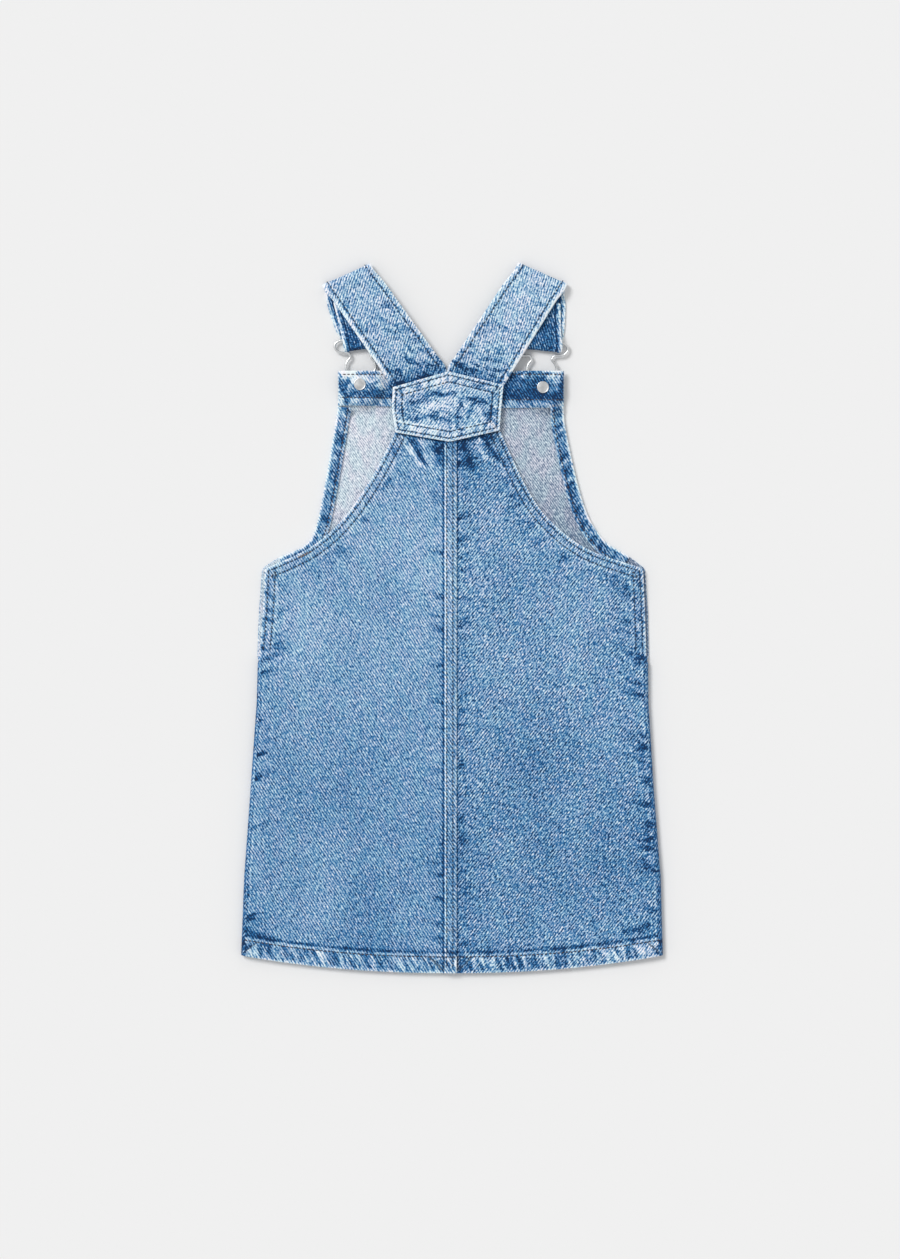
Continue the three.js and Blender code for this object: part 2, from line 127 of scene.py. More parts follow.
BUCKLE_AT = {"left": (-63.8, 162.8), "right": (62.8, 160.8)}
# Half of a buckle's wire, from the middle of its bar to the middle of its neck.
WIRE_HALF = [(0, 31), (9, 31), (14.4, 30.8), (17.6, 28.9), (18.1, 26), (15.8, 23), (12, 22.2),
             (8.4, 21.9), (7.2, 19.6), (9.6, 16), (10.3, 11.5), (7.2, 6.6), (4.1, 2.6),
             (3.6, -0.8), (0, -3.6)]
# The straps' stations: armhole edge, neck edge and, where it isn't the floor, the height of the cloth.
STRAPS = {
    "left": {
        "back": [((-30, 146), (-4, 152), 5.2), ((-37, 155), (-4, 163), 5.2),
                 ((-42, 162.8), (-4.9, 174.7), 5.2), ((-47, 170.1), (-10.4, 182.3), 6.5),
                 ((-54, 180.2), (-18, 192.9), 7.4), ((-62, 191.8), (-26.8, 205), 7.7),
                 ((-72, 206.3), (-37.7, 220.2), 7.3), ((-82, 220.8), (-48.6, 235.3), 6.5)],
        "shoulder": ((-90.3, 232.8), (-57.4, 247.5), 6.2),
        "front": [((-86.6, 218.5), (-53, 229.6)), ((-80.8, 201), (-46.6, 208))],
        "bar": ((-74.8, 185.9), (-47.4, 189.4), 5.75),
        "tail": [((-76.4, 195.8), (-47.4, 199.6), 5.75), ((-77.9, 202), (-46.4, 206), 3.6),
                 ((-82.4, 220), (-50, 224.5), 3.6)],
    },
    "right": {
        "back": [((24, 146), (-3, 152), 5.2), ((30.5, 155), (-3, 163), 5.2),
                 ((35.7, 162.1), (-2.3, 174.7), 5.2), ((40.1, 169.3), (2.5, 181.9), 6.5),
                 ((46.8, 180), (9.3, 192.2), 7.4), ((54.2, 191.9), (17.3, 204.2), 7.7),
                 ((63.1, 206.3), (26.8, 218.5), 7.3), ((72.2, 221), (36.6, 233.2), 6.5)],
        "shoulder": ((80.4, 233.4), (46.9, 248.2), 6.2),
        "front": [((79, 217), (46, 226)), ((78.2, 202), (45.6, 208))],
        "bar": ((76.4, 185.3), (46.4, 188.1), 5.75),
        "tail": [((76.2, 194.8), (46.4, 198.2), 5.75), ((75.8, 201), (46, 205), 3.6),
                 ((75.4, 219), (45.6, 223), 3.6)],
    },
}


# ---------------------------------------------------------------- small mathematics
def smoothstep(v, low, high):
    """0 below low, 1 above high and smooth between."""
    t = np.clip((np.asarray(v, float) - low) / (high - low), 0.0, 1.0)
    return t * t * (3 - 2 * t)


def table_at(table, y, column):
    """A column of a table, between its rows."""
    ys = [row["y"] for row in table]
    return np.interp(y, ys, [row[column] for row in table])


def catmull(points, per_span=24):
    """Points on a smooth curve through the given ones, ends included."""
    p = np.asarray(points, float)
    out = []
    for i in range(len(p) - 1):
        p0, p1, p2, p3 = p[max(i - 1, 0)], p[i], p[i + 1], p[min(i + 2, len(p) - 1)]
        v0, v1 = (p2 - p0) / 2, (p3 - p1) / 2
        cubic, square = 2 * p1 - 2 * p2 + v0 + v1, -3 * p1 + 3 * p2 - 2 * v0 - v1
        for t in np.arange(per_span) / per_span:
            out.append(cubic * t**3 + square * t**2 + v0 * t + p1)
    out.append(p[-1])
    return np.array(out)


def x_at(curve, y):
    """Where a curve that runs up the dress crosses a height."""
    order = np.argsort(curve[:, 1])
    return np.interp(y, curve[order, 1], curve[order, 0])


def polyline_distance(xy, line):
    """Distance of each point from a polyline, and how far along the line its foot lies."""
    flat = xy.reshape(-1, 2)
    best = np.full(len(flat), 1e9)
    along = np.zeros(len(flat))
    start = 0.0
    for a, b in zip(line[:-1], line[1:]):
        d = b - a
        length = float(np.hypot(*d))
        if length == 0:
            continue
        t = np.clip(((flat - a) @ d) / length**2, 0, 1)
        foot = a + t[:, None] * d
        dist = np.hypot(*(flat - foot).T)
        nearer = dist < best
        best[nearer] = dist[nearer]
        along[nearer] = start + t[nearer] * length
        start += length
    return best.reshape(xy.shape[:-1]), along.reshape(xy.shape[:-1])


def lattice(ix, iy, seed):
    """A fixed number from 0 to 1 for each whole place."""
    n = (ix.astype(np.int64) * 374761393 + iy.astype(np.int64) * 668265263 + seed * 974634777) & 0xFFFFFFFF
    n = ((n ^ (n >> 13)) * 1274126177) & 0xFFFFFFFF
    n = (n ^ (n >> 16)) & 0xFFFFFF
    return n / float(0xFFFFFF)


def noise(x, y, seed=0):
    """Smooth value noise, 0 to 1, one cell to a unit."""
    x, y = np.broadcast_arrays(np.asarray(x, float), np.asarray(y, float))
    ix, iy = np.floor(x), np.floor(y)
    fx, fy = x - ix, y - iy
    fx, fy = fx * fx * (3 - 2 * fx), fy * fy * (3 - 2 * fy)
    a, b = lattice(ix, iy, seed), lattice(ix + 1, iy, seed)
    c, d = lattice(ix, iy + 1, seed), lattice(ix + 1, iy + 1, seed)
    return (a * (1 - fx) + b * fx) * (1 - fy) + (c * (1 - fx) + d * fx) * fy


def clouds(x, y, size, seed=0, octaves=3):
    """Layered noise, 0 to 1, its largest blots as wide as size."""
    total, weight, amp = 0.0, 0.0, 1.0
    for k in range(octaves):
        total = total + amp * noise(x / size * 2**k, y / size * 2**k, seed + k)
        weight += amp
        amp *= 0.55
    return total / weight


def bell(v, centre, width):
    """1 at the centre, fading away over the width."""
    return np.exp(-(((np.asarray(v, float) - centre) / width) ** 2))


# ---------------------------------------------------------------- how washed denim fades, and where shade is painted on it
class Look:
    """What each point of a cloth grid carries.

    fade is its tone: -0.5 kept its dye, 0.5 is worn to white; in places it also carries painted
    shade and painted shadows. rope is how much it puckers in a stitched band, drag how dark the marks beside
    a seam are, mottle how crumpled it wore, dye how dark its unworn patches are, and relief its height in
    millimetres over the plain form. s and d are the way along and away from the nearest seam.
    """

    def __init__(self, shape):
        self.fade, self.rope, self.drag, self.mottle, self.dye = (np.zeros(shape) for _ in range(5))
        self.relief, self.s = np.zeros(shape), np.zeros(shape)
        self.d = np.full(shape, 1000.0)

    def nearest(self, d, s, seed, where=True):
        """Take a seam's d and s where it is the nearest one yet."""
        closer = (np.abs(d) < self.d) & where
        self.d = np.where(closer, np.abs(d), self.d)
        self.s = np.where(closer, s + 137.0 * seed, self.s)

    def edge(self, d, s, seed, depth, rows, ridge=0.25, rope=0.2, base=0.0, drag=0.25, reach=7.0,
             within=1.0):
        """A turned edge sewn down with rows of stitches: d in from the edge, s along it."""
        band = smoothstep(d, 0.4, 1.3) * (1 - smoothstep(d, depth - 0.6, depth + 0.5)) * within
        uneven = 0.35 + 1.3 * clouds(s + 60 * seed, 0 * s, 8, seed, 2)
        self.fade += within * ridge * uneven * bell(d, 0.1, 0.75) + base * band
        self.fade += within * 0.1 * uneven * bell(d, depth + 0.1, 0.7)
        self.rope += rope * band
        past = np.maximum(d - depth, 0)
        fading = np.exp(-((past / reach) ** 1.5))
        self.drag += drag * within * smoothstep(d, depth - 0.2, depth + 0.9) * fading
        self.relief += within * 0.22 * bell(d, depth * 0.5, depth * 0.45)
        for row in rows:
            self.relief -= within * 0.16 * bell(d, row, 0.5)
            self.fade -= within * 0.2 * bell(d, row, 0.6)
        self.nearest(d, s, seed, np.broadcast_to(within, d.shape) > 0.02)

    def seam(self, d, s, seed, drag=0.3, reach=6.0, start=0.0, within=1.0):
        """Dark drag marks beside a seam that starts at a distance from its line."""
        past = np.maximum(d - start, 0)
        mask = within * smoothstep(d, start - 0.3, start + 0.5) * np.exp(-((past / reach) ** 1.5))
        self.drag += drag * mask
        self.nearest(d, s, seed, mask > 0.02)

    def flipped(self):
        """The same look with its columns the other way round."""
        other = Look(self.fade.shape)
        for name, value in vars(self).items():
            setattr(other, name, value[:, ::-1])
        return other


# ---------------------------------------------------------------- shared form
def hem_at(x):
    """The curved foot of the skirt."""
    return HEM_Y + HEM_RISE * (np.abs(x) / HALF_HEM) ** 2.2


def level_to_y(x, level):
    """Rows of the grids follow the hem's curve at the foot and are straight from the side openings up."""
    t = np.clip((level - SIDE_FOOT) / (OPEN_TOP - SIDE_FOOT), 0, 1)
    skirt = hem_at(x) * (1 - t) + OPEN_TOP * t
    return np.where(level > OPEN_TOP, level, skirt)


def folded(level):
    """1 where the front wraps round the side fold, 0 from the side opening up."""
    return 1 - smoothstep(level, OPEN_BOTTOM - 5, OPEN_BOTTOM + 1)


def bib_lift(x, y):
    """How far the bib stands off the floor, over its two button heads."""
    near = 1e9
    for bx, by in BUTTON_AT.values():
        near = np.minimum(near, np.hypot(x - bx, y - np.clip(y, by, BIB_TOP)))
    return BIB_LIFT * (1 - smoothstep(near, 12.2, 20))


def back_top(side, x, y, level):
    """Height of a back panel's outer face."""
    rest = table_at(BACK_REST, y, "top")
    outline = np.abs(table_at(SIDES, level, side))
    d = np.maximum(0, outline - np.abs(x))
    turned = FOLD + np.sqrt(np.maximum(0, FOLD**2 - (FOLD - np.minimum(d, FOLD)) ** 2))
    dropped = rest - 0.8 * (1 - smoothstep(level, 0, 25))
    at_side = dropped * (1 - folded(level)) + turned * folded(level)
    t = smoothstep(d, FOLD, 45)
    return at_side * (1 - t) + rest * t


# ---------------------------------------------------------------- materials
def srgb(r, g, b):
    """A colour from screen values of 0 to 255."""
    def one(v):
        v /= 255
        return v / 12.92 if v <= 0.04045 else ((v + 0.055) / 1.055) ** 2.4

    return (one(r), one(g), one(b), 1.0)


# Tones from kept dye to worn white. A name stands for that colour of the cloth settings.
DENIM_TONES = [
    (0.0, "kept_dye"), (0.18, (12, 83, 140)), (0.34, (54, 120, 170)), (0.5, "washed"),
    (0.66, (168, 197, 220)), (0.85, (216, 231, 241)), (1.0, "worn"),
]
INSIDE_TONES = [
    (0.0, (86, 108, 136)), (0.3, (142, 158, 177)), (0.5, "wrong_side"), (0.75, (212, 221, 230)),
    (1.0, "worn"),
]


def colour_property(name, description, colour):
    """A colour that a user can set, with its default in screen values."""
    return FloatVectorProperty(name=name, description=description, size=3, min=0, max=1, subtype="COLOR",
                               default=srgb(*colour)[:3])


class PinaforeCloth(bpy.types.PropertyGroup):
    """Colours and sizes of the cloth, the thread and the metal"""
    kept_dye: colour_property("Kept dye", "Denim where it kept all its dye", (2, 42, 80))
    washed: colour_property("Washed denim", "Denim at its middle tone", (125, 161, 193))
    worn: colour_property("Worn denim", "Denim worn to white on its ridges", (242, 247, 250))
    wrong_side: colour_property("Wrong side", "Inside of the cloth at its middle tone", (184, 196, 209))
    seam_thread: colour_property("Seam thread", "Thread of the seams, yoke and straps", (38, 54, 76))
    hem_thread: colour_property("Hem thread", "Thread of the hem and the bib", (62, 56, 66))
    bar_thread: colour_property("Bar thread", "Thread of the bar tack at the side opening", (168, 140, 112))
    metal: colour_property("Metal", "Buckles and buttons", (238, 240, 241))
    wale_pitch: FloatProperty(name="Wale pitch", description="From one diagonal rib of the twill to the next",
                              default=0.0017, min=0.0005, subtype="DISTANCE", unit="LENGTH")
    stitch_pitch: FloatProperty(name="Stitch pitch", description="From one stitch to the next",
                                default=0.0029, min=0.001, subtype="DISTANCE", unit="LENGTH")
    stitch_length: FloatProperty(name="Stitch length", description="Thread that shows at each stitch",
                                 default=0.0022, min=0.0005, subtype="DISTANCE", unit="LENGTH")
    thread_radius: FloatProperty(name="Thread radius", description="Half the thickness of the thread",
                                 default=0.00042, min=0.0001, subtype="DISTANCE", unit="LENGTH")


def new_node(tree, kind, **values):
    """A node of a kind, with its settings."""
    node = tree.nodes.new(kind)
    for key, value in values.items():
        setattr(node, key, value)
    return node


def maths(tree, operation, a, b=None, c=None):
    """The result of a Math node on numbers and sockets."""
    node = new_node(tree, "ShaderNodeMath", operation=operation)
    for socket, value in zip(node.inputs, (a, b, c)):
        if value is None:
            continue
        if isinstance(value, (int, float)):
            socket.default_value = value
        else:
            tree.links.new(value, socket)
    return node.outputs[0]


def twill_material(name, tones, wale_angle, finer=1.0, fleck=1.0):
    """Washed twill: wales, uneven yarn and dye, with the puckers along its seams.

    The piece carries fade (its own tone, with painted shade and painted shadows in places), rope
    (puckers in a stitched band), drag (dark marks beside a seam), mottle (crumpled wear) and dye (patches
    that kept it), and the map "edge" gives the place along and away from the nearest seam.
    """
    cloth = bpy.context.scene.pinafore_cloth
    material = bpy.data.materials.new(name)
    material.use_nodes = True
    tree = material.node_tree
    tree.nodes.clear()
    link = tree.links.new
    out = new_node(tree, "ShaderNodeOutputMaterial")
    shader = new_node(tree, "ShaderNodeBsdfPrincipled")
    link(shader.outputs[0], out.inputs[0])
    shader.inputs["Sheen Weight"].default_value = 0.1
    shader.inputs["Sheen Roughness"].default_value = 0.6
    shader.inputs["Specular IOR Level"].default_value = 0.2

    def mapped(uv, turn, size_x, size_y, shear=0.0):
        """Cloth or edge places, turned by degrees and counted in cells of the given sizes in millimetres."""
        source = new_node(tree, "ShaderNodeUVMap", uv_map=uv)
        split = new_node(tree, "ShaderNodeSeparateXYZ")
        link(source.outputs[0], split.inputs[0])
        u, v = split.outputs[0], split.outputs[1]
        c, q = math.cos(math.radians(turn)) / MM, math.sin(math.radians(turn)) / MM
        x = maths(tree, "MULTIPLY_ADD", u, c, maths(tree, "MULTIPLY", v, q))
        y = maths(tree, "MULTIPLY_ADD", u, -q, maths(tree, "MULTIPLY", v, c))
        if shear:
            x = maths(tree, "MULTIPLY_ADD", y, shear, x)
        join = new_node(tree, "ShaderNodeCombineXYZ")
        link(maths(tree, "DIVIDE", x, size_x), join.inputs[0])
        link(maths(tree, "DIVIDE", y, size_y), join.inputs[1])
        return join.outputs[0]

    def grain(vector, detail=2.0, rough=0.5):
        """Noise about 0, a cell to a unit."""
        tex = new_node(tree, "ShaderNodeTexNoise", noise_dimensions="2D")
        tex.inputs["Scale"].default_value = 1.0
        tex.inputs["Detail"].default_value = detail
        tex.inputs["Roughness"].default_value = rough
        link(vector, tex.inputs["Vector"])
        return maths(tree, "SUBTRACT", tex.outputs["Fac"], 0.5)

    def carried(attribute):
        """What the piece carries there under that name."""
        carrier = new_node(tree, "ShaderNodeAttribute", attribute_type="GEOMETRY", attribute_name=attribute)
        return carrier.outputs["Fac"]

    def times(a, b):
        return maths(tree, "MULTIPLY", a, b)

    def plus(a, b):
        return maths(tree, "ADD", a, b)

    across = wale_angle - 90
    wobble = grain(mapped("cloth", across, 2.4, 6.0), 1.0)
    split = new_node(tree, "ShaderNodeSeparateXYZ")
    link(mapped("cloth", across, 1.0, 1.0), split.inputs[0])
    wale = finer * cloth.wale_pitch / MM
    phase = maths(tree, "MULTIPLY_ADD", split.outputs[0], 2 * math.pi / wale, times(wobble, 3.5))
    wales = maths(tree, "SINE", phase)
    slub = grain(mapped("cloth", across, 1.1, 2.7), 1.5, 0.6)
    speck = grain(mapped("cloth", 0, 1.25, 1.4), 1.0, 0.5)
    yarn = grain(mapped("cloth", 0, 1.3, 5.0), 2.0, 0.6)
    patch = grain(mapped("cloth", 0, 7.0, 11.0), 3.0, 0.6)
    cloudy = grain(mapped("cloth", 0, 40.0, 70.0), 2.0, 0.5)
    crumple = grain(mapped("cloth", 38, 2.2, 6.5), 3.0, 0.62)
    crumple_wide = grain(mapped("cloth", 70, 5.0, 14.0), 2.0, 0.6)
    rope = grain(mapped("edge", 0, 3.4, 15.0, 0.42), 1.5, 0.55)
    drag = grain(mapped("edge", 0, 7.5, 26.0, -0.15), 2.0, 0.6)

    level = plus(carried("fade"), 0.5)
    for source, gain in ((slub, 1.05 * fleck), (speck, 0.95 * fleck), (yarn, 0.4 * fleck), (patch, 0.16),
                         (cloudy, 0.14)):
        level = plus(level, times(source, gain))
    level = plus(level, times(wales, 0.2))
    level = plus(level, times(carried("rope"), times(rope, 3.4)))
    level = plus(level, times(carried("mottle"), plus(times(crumple, 2.6), times(crumple_wide, 1.8))))

    def over(value, low, high):
        """0 below low, 1 above high and smooth between."""
        ramped = new_node(tree, "ShaderNodeMapRange", interpolation_type="SMOOTHSTEP")
        ramped.inputs["From Min"].default_value = low
        ramped.inputs["From Max"].default_value = high
        link(value, ramped.inputs["Value"])
        return ramped.outputs[0]

    level = maths(tree, "SUBTRACT", level, times(carried("drag"), over(drag, 0.03, 0.2)))
    kept = over(plus(crumple_wide, times(crumple, 0.45)), 0.03, 0.13)
    level = maths(tree, "SUBTRACT", level, times(carried("dye"), kept))
    ramp = new_node(tree, "ShaderNodeValToRGB")
    stops = ramp.color_ramp.elements
    while len(stops) < len(tones):
        stops.new(0.5)
    for stop, (position, colour) in zip(stops, tones):
        stop.position = position
        stop.color = (*getattr(cloth, colour), 1) if isinstance(colour, str) else srgb(*colour)
    link(level, ramp.inputs[0])
    tint = new_node(tree, "ShaderNodeMix", data_type="RGBA", blend_type="MULTIPLY")
    tint.inputs[0].default_value = 1.0
    shade = new_node(tree, "ShaderNodeValToRGB")
    shade.color_ramp.elements[0].position, shade.color_ramp.elements[1].position = 0.35, 0.65
    shade.color_ramp.elements[0].color = (0.93, 1.0, 1.0, 1)
    shade.color_ramp.elements[1].color = (1.04, 0.975, 1.0, 1)
    link(plus(grain(mapped("cloth", 0, 9.0, 16.0), 2.0), 0.5), shade.inputs[0])
    colours = [s for s in tint.inputs if s.type == "RGBA"]
    link(ramp.outputs[0], colours[0])
    link(shade.outputs[0], colours[1])
    link([o for o in tint.outputs if o.type == "RGBA"][0], shader.inputs["Base Color"])
    link(maths(tree, "MULTIPLY_ADD", slub, 0.2, 0.85), shader.inputs["Roughness"])
    height = plus(times(wales, 0.4), times(slub, 1.2))
    fine = new_node(tree, "ShaderNodeBump")
    fine.inputs["Strength"].default_value = 0.25
    fine.inputs["Distance"].default_value = 0.0002
    link(height, fine.inputs["Height"])
    puckers = plus(times(carried("rope"), rope), times(carried("mottle"), times(crumple, 1.2)))
    coarse = new_node(tree, "ShaderNodeBump")
    coarse.inputs["Strength"].default_value = 0.9
    coarse.inputs["Distance"].default_value = 0.004
    link(puckers, coarse.inputs["Height"])
    link(fine.outputs[0], coarse.inputs["Normal"])
    link(coarse.outputs[0], shader.inputs["Normal"])
    return material


def thread_material(name, colour):
    """Twisted sewing thread, a little uneven in tone."""
    material = bpy.data.materials.new(name)
    material.use_nodes = True
    tree = material.node_tree
    shader = tree.nodes["Principled BSDF"]
    coords = new_node(tree, "ShaderNodeTexCoord")
    tex = new_node(tree, "ShaderNodeTexNoise")
    tex.inputs["Scale"].default_value = 520
    tree.links.new(coords.outputs["Object"], tex.inputs["Vector"])
    ramp = new_node(tree, "ShaderNodeValToRGB")
    dark, light = ramp.color_ramp.elements
    dark.position, light.position = 0.3, 0.75
    dark.color = (*(c * 0.45 for c in colour), 1)
    light.color = (*(min(1, c * 1.6) for c in colour), 1)
    tree.links.new(tex.outputs["Fac"], ramp.inputs[0])
    tree.links.new(ramp.outputs[0], shader.inputs["Base Color"])
    twist = new_node(tree, "ShaderNodeTexWave", wave_type="BANDS", bands_direction="DIAGONAL")
    twist.inputs["Scale"].default_value = 900
    tree.links.new(coords.outputs["Object"], twist.inputs["Vector"])
    bump = new_node(tree, "ShaderNodeBump")
    bump.inputs["Strength"].default_value = 0.4
    bump.inputs["Distance"].default_value = 0.00008
    tree.links.new(twist.outputs["Fac"], bump.inputs["Height"])
    tree.links.new(bump.outputs[0], shader.inputs["Normal"])
    shader.inputs["Roughness"].default_value = 0.6
    shader.inputs["Sheen Weight"].default_value = 0.2
    return material


def metal_material(name, colour, roughness):
    """Plated metal, rubbed unevenly."""
    material = bpy.data.materials.new(name)
    material.use_nodes = True
    tree = material.node_tree
    shader = tree.nodes["Principled BSDF"]
    shader.inputs["Metallic"].default_value = 1.0
    coords = new_node(tree, "ShaderNodeTexCoord")
    tex = new_node(tree, "ShaderNodeTexNoise")
    tex.inputs["Scale"].default_value = 260
    tex.inputs["Detail"].default_value = 4
    tree.links.new(coords.outputs["Object"], tex.inputs["Vector"])
    ramp = new_node(tree, "ShaderNodeValToRGB")
    dark, light = ramp.color_ramp.elements
    dark.position, light.position = 0.35, 0.7
    dark.color = (*(c * 0.75 for c in colour), 1)
    light.color = (*colour, 1)
    tree.links.new(tex.outputs["Fac"], ramp.inputs[0])
    tree.links.new(ramp.outputs[0], shader.inputs["Base Color"])
    rubbed = maths(tree, "MULTIPLY_ADD", tex.outputs["Fac"], 0.16, roughness - 0.08)
    tree.links.new(rubbed, shader.inputs["Roughness"])
    bump = new_node(tree, "ShaderNodeBump")
    bump.inputs["Strength"].default_value = 0.15
    bump.inputs["Distance"].default_value = 0.00005
    tree.links.new(tex.outputs["Fac"], bump.inputs["Height"])
    tree.links.new(bump.outputs[0], shader.inputs["Normal"])
    return material


MATERIALS = {}


def finish(name):
    """The dress's finishes, each made once."""
    if name in MATERIALS:
        return MATERIALS[name]
    cloth = bpy.context.scene.pinafore_cloth
    make = {
        "denim rising right": lambda: twill_material(name, DENIM_TONES, 52, fleck=1.0),
        "denim rising left": lambda: twill_material(name, DENIM_TONES, 123, fleck=0.74),
        "denim along strap": lambda: twill_material(name, DENIM_TONES, 72),
        "denim wrong side": lambda: twill_material(name, INSIDE_TONES, 125, 0.82, 0.95),
        "seam thread": lambda: thread_material(name, cloth.seam_thread),
        "hem thread": lambda: thread_material(name, cloth.hem_thread),
        "bar thread": lambda: thread_material(name, cloth.bar_thread),
        "nickel": lambda: metal_material(name, cloth.metal, 0.3),
    }
    MATERIALS[name] = make[name]()
    return MATERIALS[name]


# ---------------------------------------------------------------- cloth meshes
def grid_normals(grid):
    """The outward direction at each point of a grid."""
    up = np.gradient(grid, axis=0)
    across = np.gradient(grid, axis=1)
    n = np.cross(across, up)
    length = np.linalg.norm(n, axis=2, keepdims=True)
    return n / np.maximum(length, 1e-9)


def cloth_piece(name, grid, thickness, look, outside, inside, uv=None, inner_fade_and_shade=None, bulge=0.35):
    """A closed shell: the grid is the outer face, in millimetres, and the edges are rounded over."""
    rows, cols = grid.shape[:2]
    normals = grid_normals(grid)
    grid = grid + normals * look.relief[..., None]
    inner = grid - normals * thickness
    count = rows * cols
    index = np.arange(count).reshape(rows, cols)
    ring = np.concatenate([index[0, :-1], index[:-1, -1], index[-1, :0:-1], index[:0:-1, 0]])
    flat_outer, flat_inner = grid.reshape(-1, 3), inner.reshape(-1, 3)
    ring_outer, ring_inner = flat_outer[ring], flat_inner[ring]
    tangent = np.roll(ring_outer, -1, 0) - np.roll(ring_outer, 1, 0)
    outward = np.cross(tangent, normals.reshape(-1, 3)[ring])
    outward /= np.maximum(np.linalg.norm(outward, axis=1, keepdims=True), 1e-9)
    rims = []
    for angle in (45, 90, 135):
        a = math.radians(angle)
        mid = ring_outer * (1 + math.cos(a)) / 2 + ring_inner * (1 - math.cos(a)) / 2
        rims.append(mid + outward * thickness * bulge * math.sin(a))
    vertices = np.concatenate([flat_outer, flat_inner, *rims])
    vertices[:, 2] = np.maximum(vertices[:, 2], 0)
    a, b, c, d = index[:-1, :-1], index[:-1, 1:], index[1:, 1:], index[1:, :-1]
    outer_faces = np.stack([a, b, c, d], -1).reshape(-1, 4)
    inner_faces = outer_faces[:, ::-1] + count
    n = len(ring)
    levels = [ring, *(np.arange(n) + 2 * count + k * n for k in range(3)), ring + count]
    rim_faces = []
    for low, high in zip(levels[:-1], levels[1:]):
        rim_faces.append(np.stack([low, high, np.roll(high, -1), np.roll(low, -1)], -1))
    faces = np.concatenate([outer_faces, inner_faces, *rim_faces])
    mesh = bpy.data.meshes.new(name)
    mesh.from_pydata((vertices * MM).tolist(), [], faces.tolist())
    mesh.materials.append(finish(outside))
    mesh.materials.append(finish(inside))
    slots = np.zeros(len(faces), dtype=np.int32)
    slots[len(outer_faces):len(outer_faces) + len(inner_faces)] = 1
    mesh.polygons.foreach_set("material_index", slots)
    mesh.polygons.foreach_set("use_smooth", np.ones(len(faces), dtype=bool))

    def carry(attribute, outer_values, inner_values, rim_extra=0.0):
        flat = outer_values.reshape(-1)
        rim = flat[ring] + rim_extra
        values = np.concatenate([flat, inner_values.reshape(-1), rim, rim, rim])
        mesh.attributes.new(attribute, "FLOAT", "POINT").data.foreach_set("value", values.astype(np.float32))

    same = outside == inside
    under = look.fade if inner_fade_and_shade is None else inner_fade_and_shade
    carry("fade", look.fade, under, 0.04)
    for attribute in ("rope", "drag", "mottle", "dye"):
        values = getattr(look, attribute)
        carry(attribute, values, values if same else values * 0)
    loops = np.empty(len(mesh.loops), dtype=np.int32)
    mesh.loops.foreach_get("vertex_index", loops)
    plan = grid[..., :2] if uv is None else uv
    for layer, places in (("cloth", plan), ("edge", np.stack([look.s, look.d], -1))):
        places = places.reshape(-1, 2)
        flat = np.concatenate([places, places, places[ring], places[ring], places[ring]]) * MM
        mesh.uv_layers.new(name=layer).data.foreach_set("uv", flat[loops].astype(np.float32).reshape(-1))
    mesh.validate()
    mesh.update()
    obj = bpy.data.objects.new(name, mesh)
    bpy.context.scene.collection.objects.link(obj)
    return obj


def settle(obj, node):
    """The cloth piece stands for its node and rides with the dress."""
    take_place(obj, node)


def take_place(obj, node):
    """A piece rides with the dress and stands for its node."""
    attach(obj, "root")
    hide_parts(node)


def surface_of(obj):
    """A piece's surface, for laying stitches on it."""
    mesh = obj.data
    return BVHTree.FromPolygons([v.co[:] for v in mesh.vertices], [p.vertices[:] for p in mesh.polygons])


SURFACES = {}


def on_surface(piece, xy, lift=0.0):
    """Points in metres on the upper face of a piece under the given places in millimetres."""
    tree = SURFACES[piece]
    points = []
    for x, y in xy:
        hit = tree.ray_cast(Vector((x * MM, y * MM, 0.1)), Vector((0, 0, -1)))
        if hit[0] is not None:
            points.append(hit[0] + Vector((0, 0, lift * MM)))
    return points


# ---------------------------------------------------------------- creases
# Each crease: its points, its half width, its height (below 0 a trough), its fade.
CREASES = {
    "back_left": [
        ([(-118, 28), (-98, -6), (-84, -44)], 12, 0.7, 0.03),
        ([(-60, 82), (-48, 40), (-44, -10)], 14, -0.6, -0.02),
        ([(-128, -70), (-104, -96), (-90, -140)], 13, 0.6, 0.03),
        ([(-30, 60), (-26, 0), (-32, -70)], 10, 0.5, 0.02),
        ([(-70, -120), (-62, -170), (-66, -220)], 15, -0.7, -0.03),
        ([(-120, -190), (-96, -206), (-70, -208)], 10, 0.5, 0.02),
    ],
    "back_right": [
        ([(112, 26), (92, -10), (82, -56)], 12, 0.7, 0.03),
        ([(52, 70), (40, 20), (42, -34)], 13, -0.6, -0.03),
        ([(120, -90), (98, -120), (88, -168)], 14, 0.6, 0.02),
        ([(24, 20), (22, -60), (28, -130)], 11, 0.5, 0.02),
        ([(66, -150), (58, -190), (62, -228)], 14, -0.6, -0.03),
    ],
    "front_panel": [
        ([(-60, 130), (-10, 100), (50, 118)], 18, 0.5, 0.02),
        ([(-90, -40), (-20, -90), (60, -60)], 24, 0.6, 0.02),
        ([(40, -230), (52, -180), (44, -120)], 20, 0.6, 0.02),
        ([(-70, -228), (-60, -170), (-76, -110)], 20, 0.6, 0.02),
    ],
}


def creased(piece, x, y):
    """The height and the tone of a piece's soft creases."""
    height = 0.55 * (clouds(x, y, 70, 21, 2) - 0.5)
    fade = 0.10 * (clouds(x, y, 55, 33, 2) - 0.5)
    xy = np.stack([x, y], -1)
    for points, width, rise, worn in CREASES.get(piece, []):
        line = catmull(points, 8)
        away, along = polyline_distance(xy, line)
        length = np.hypot(*np.diff(line, axis=0).T).sum()
        taper = np.sin(np.pi * np.clip(along / length, 0, 1)) ** 0.7
        height = height + rise * bell(away, 0, width) * taper
        fade = fade + worn * bell(away, 0, width) * taper
    return height, fade


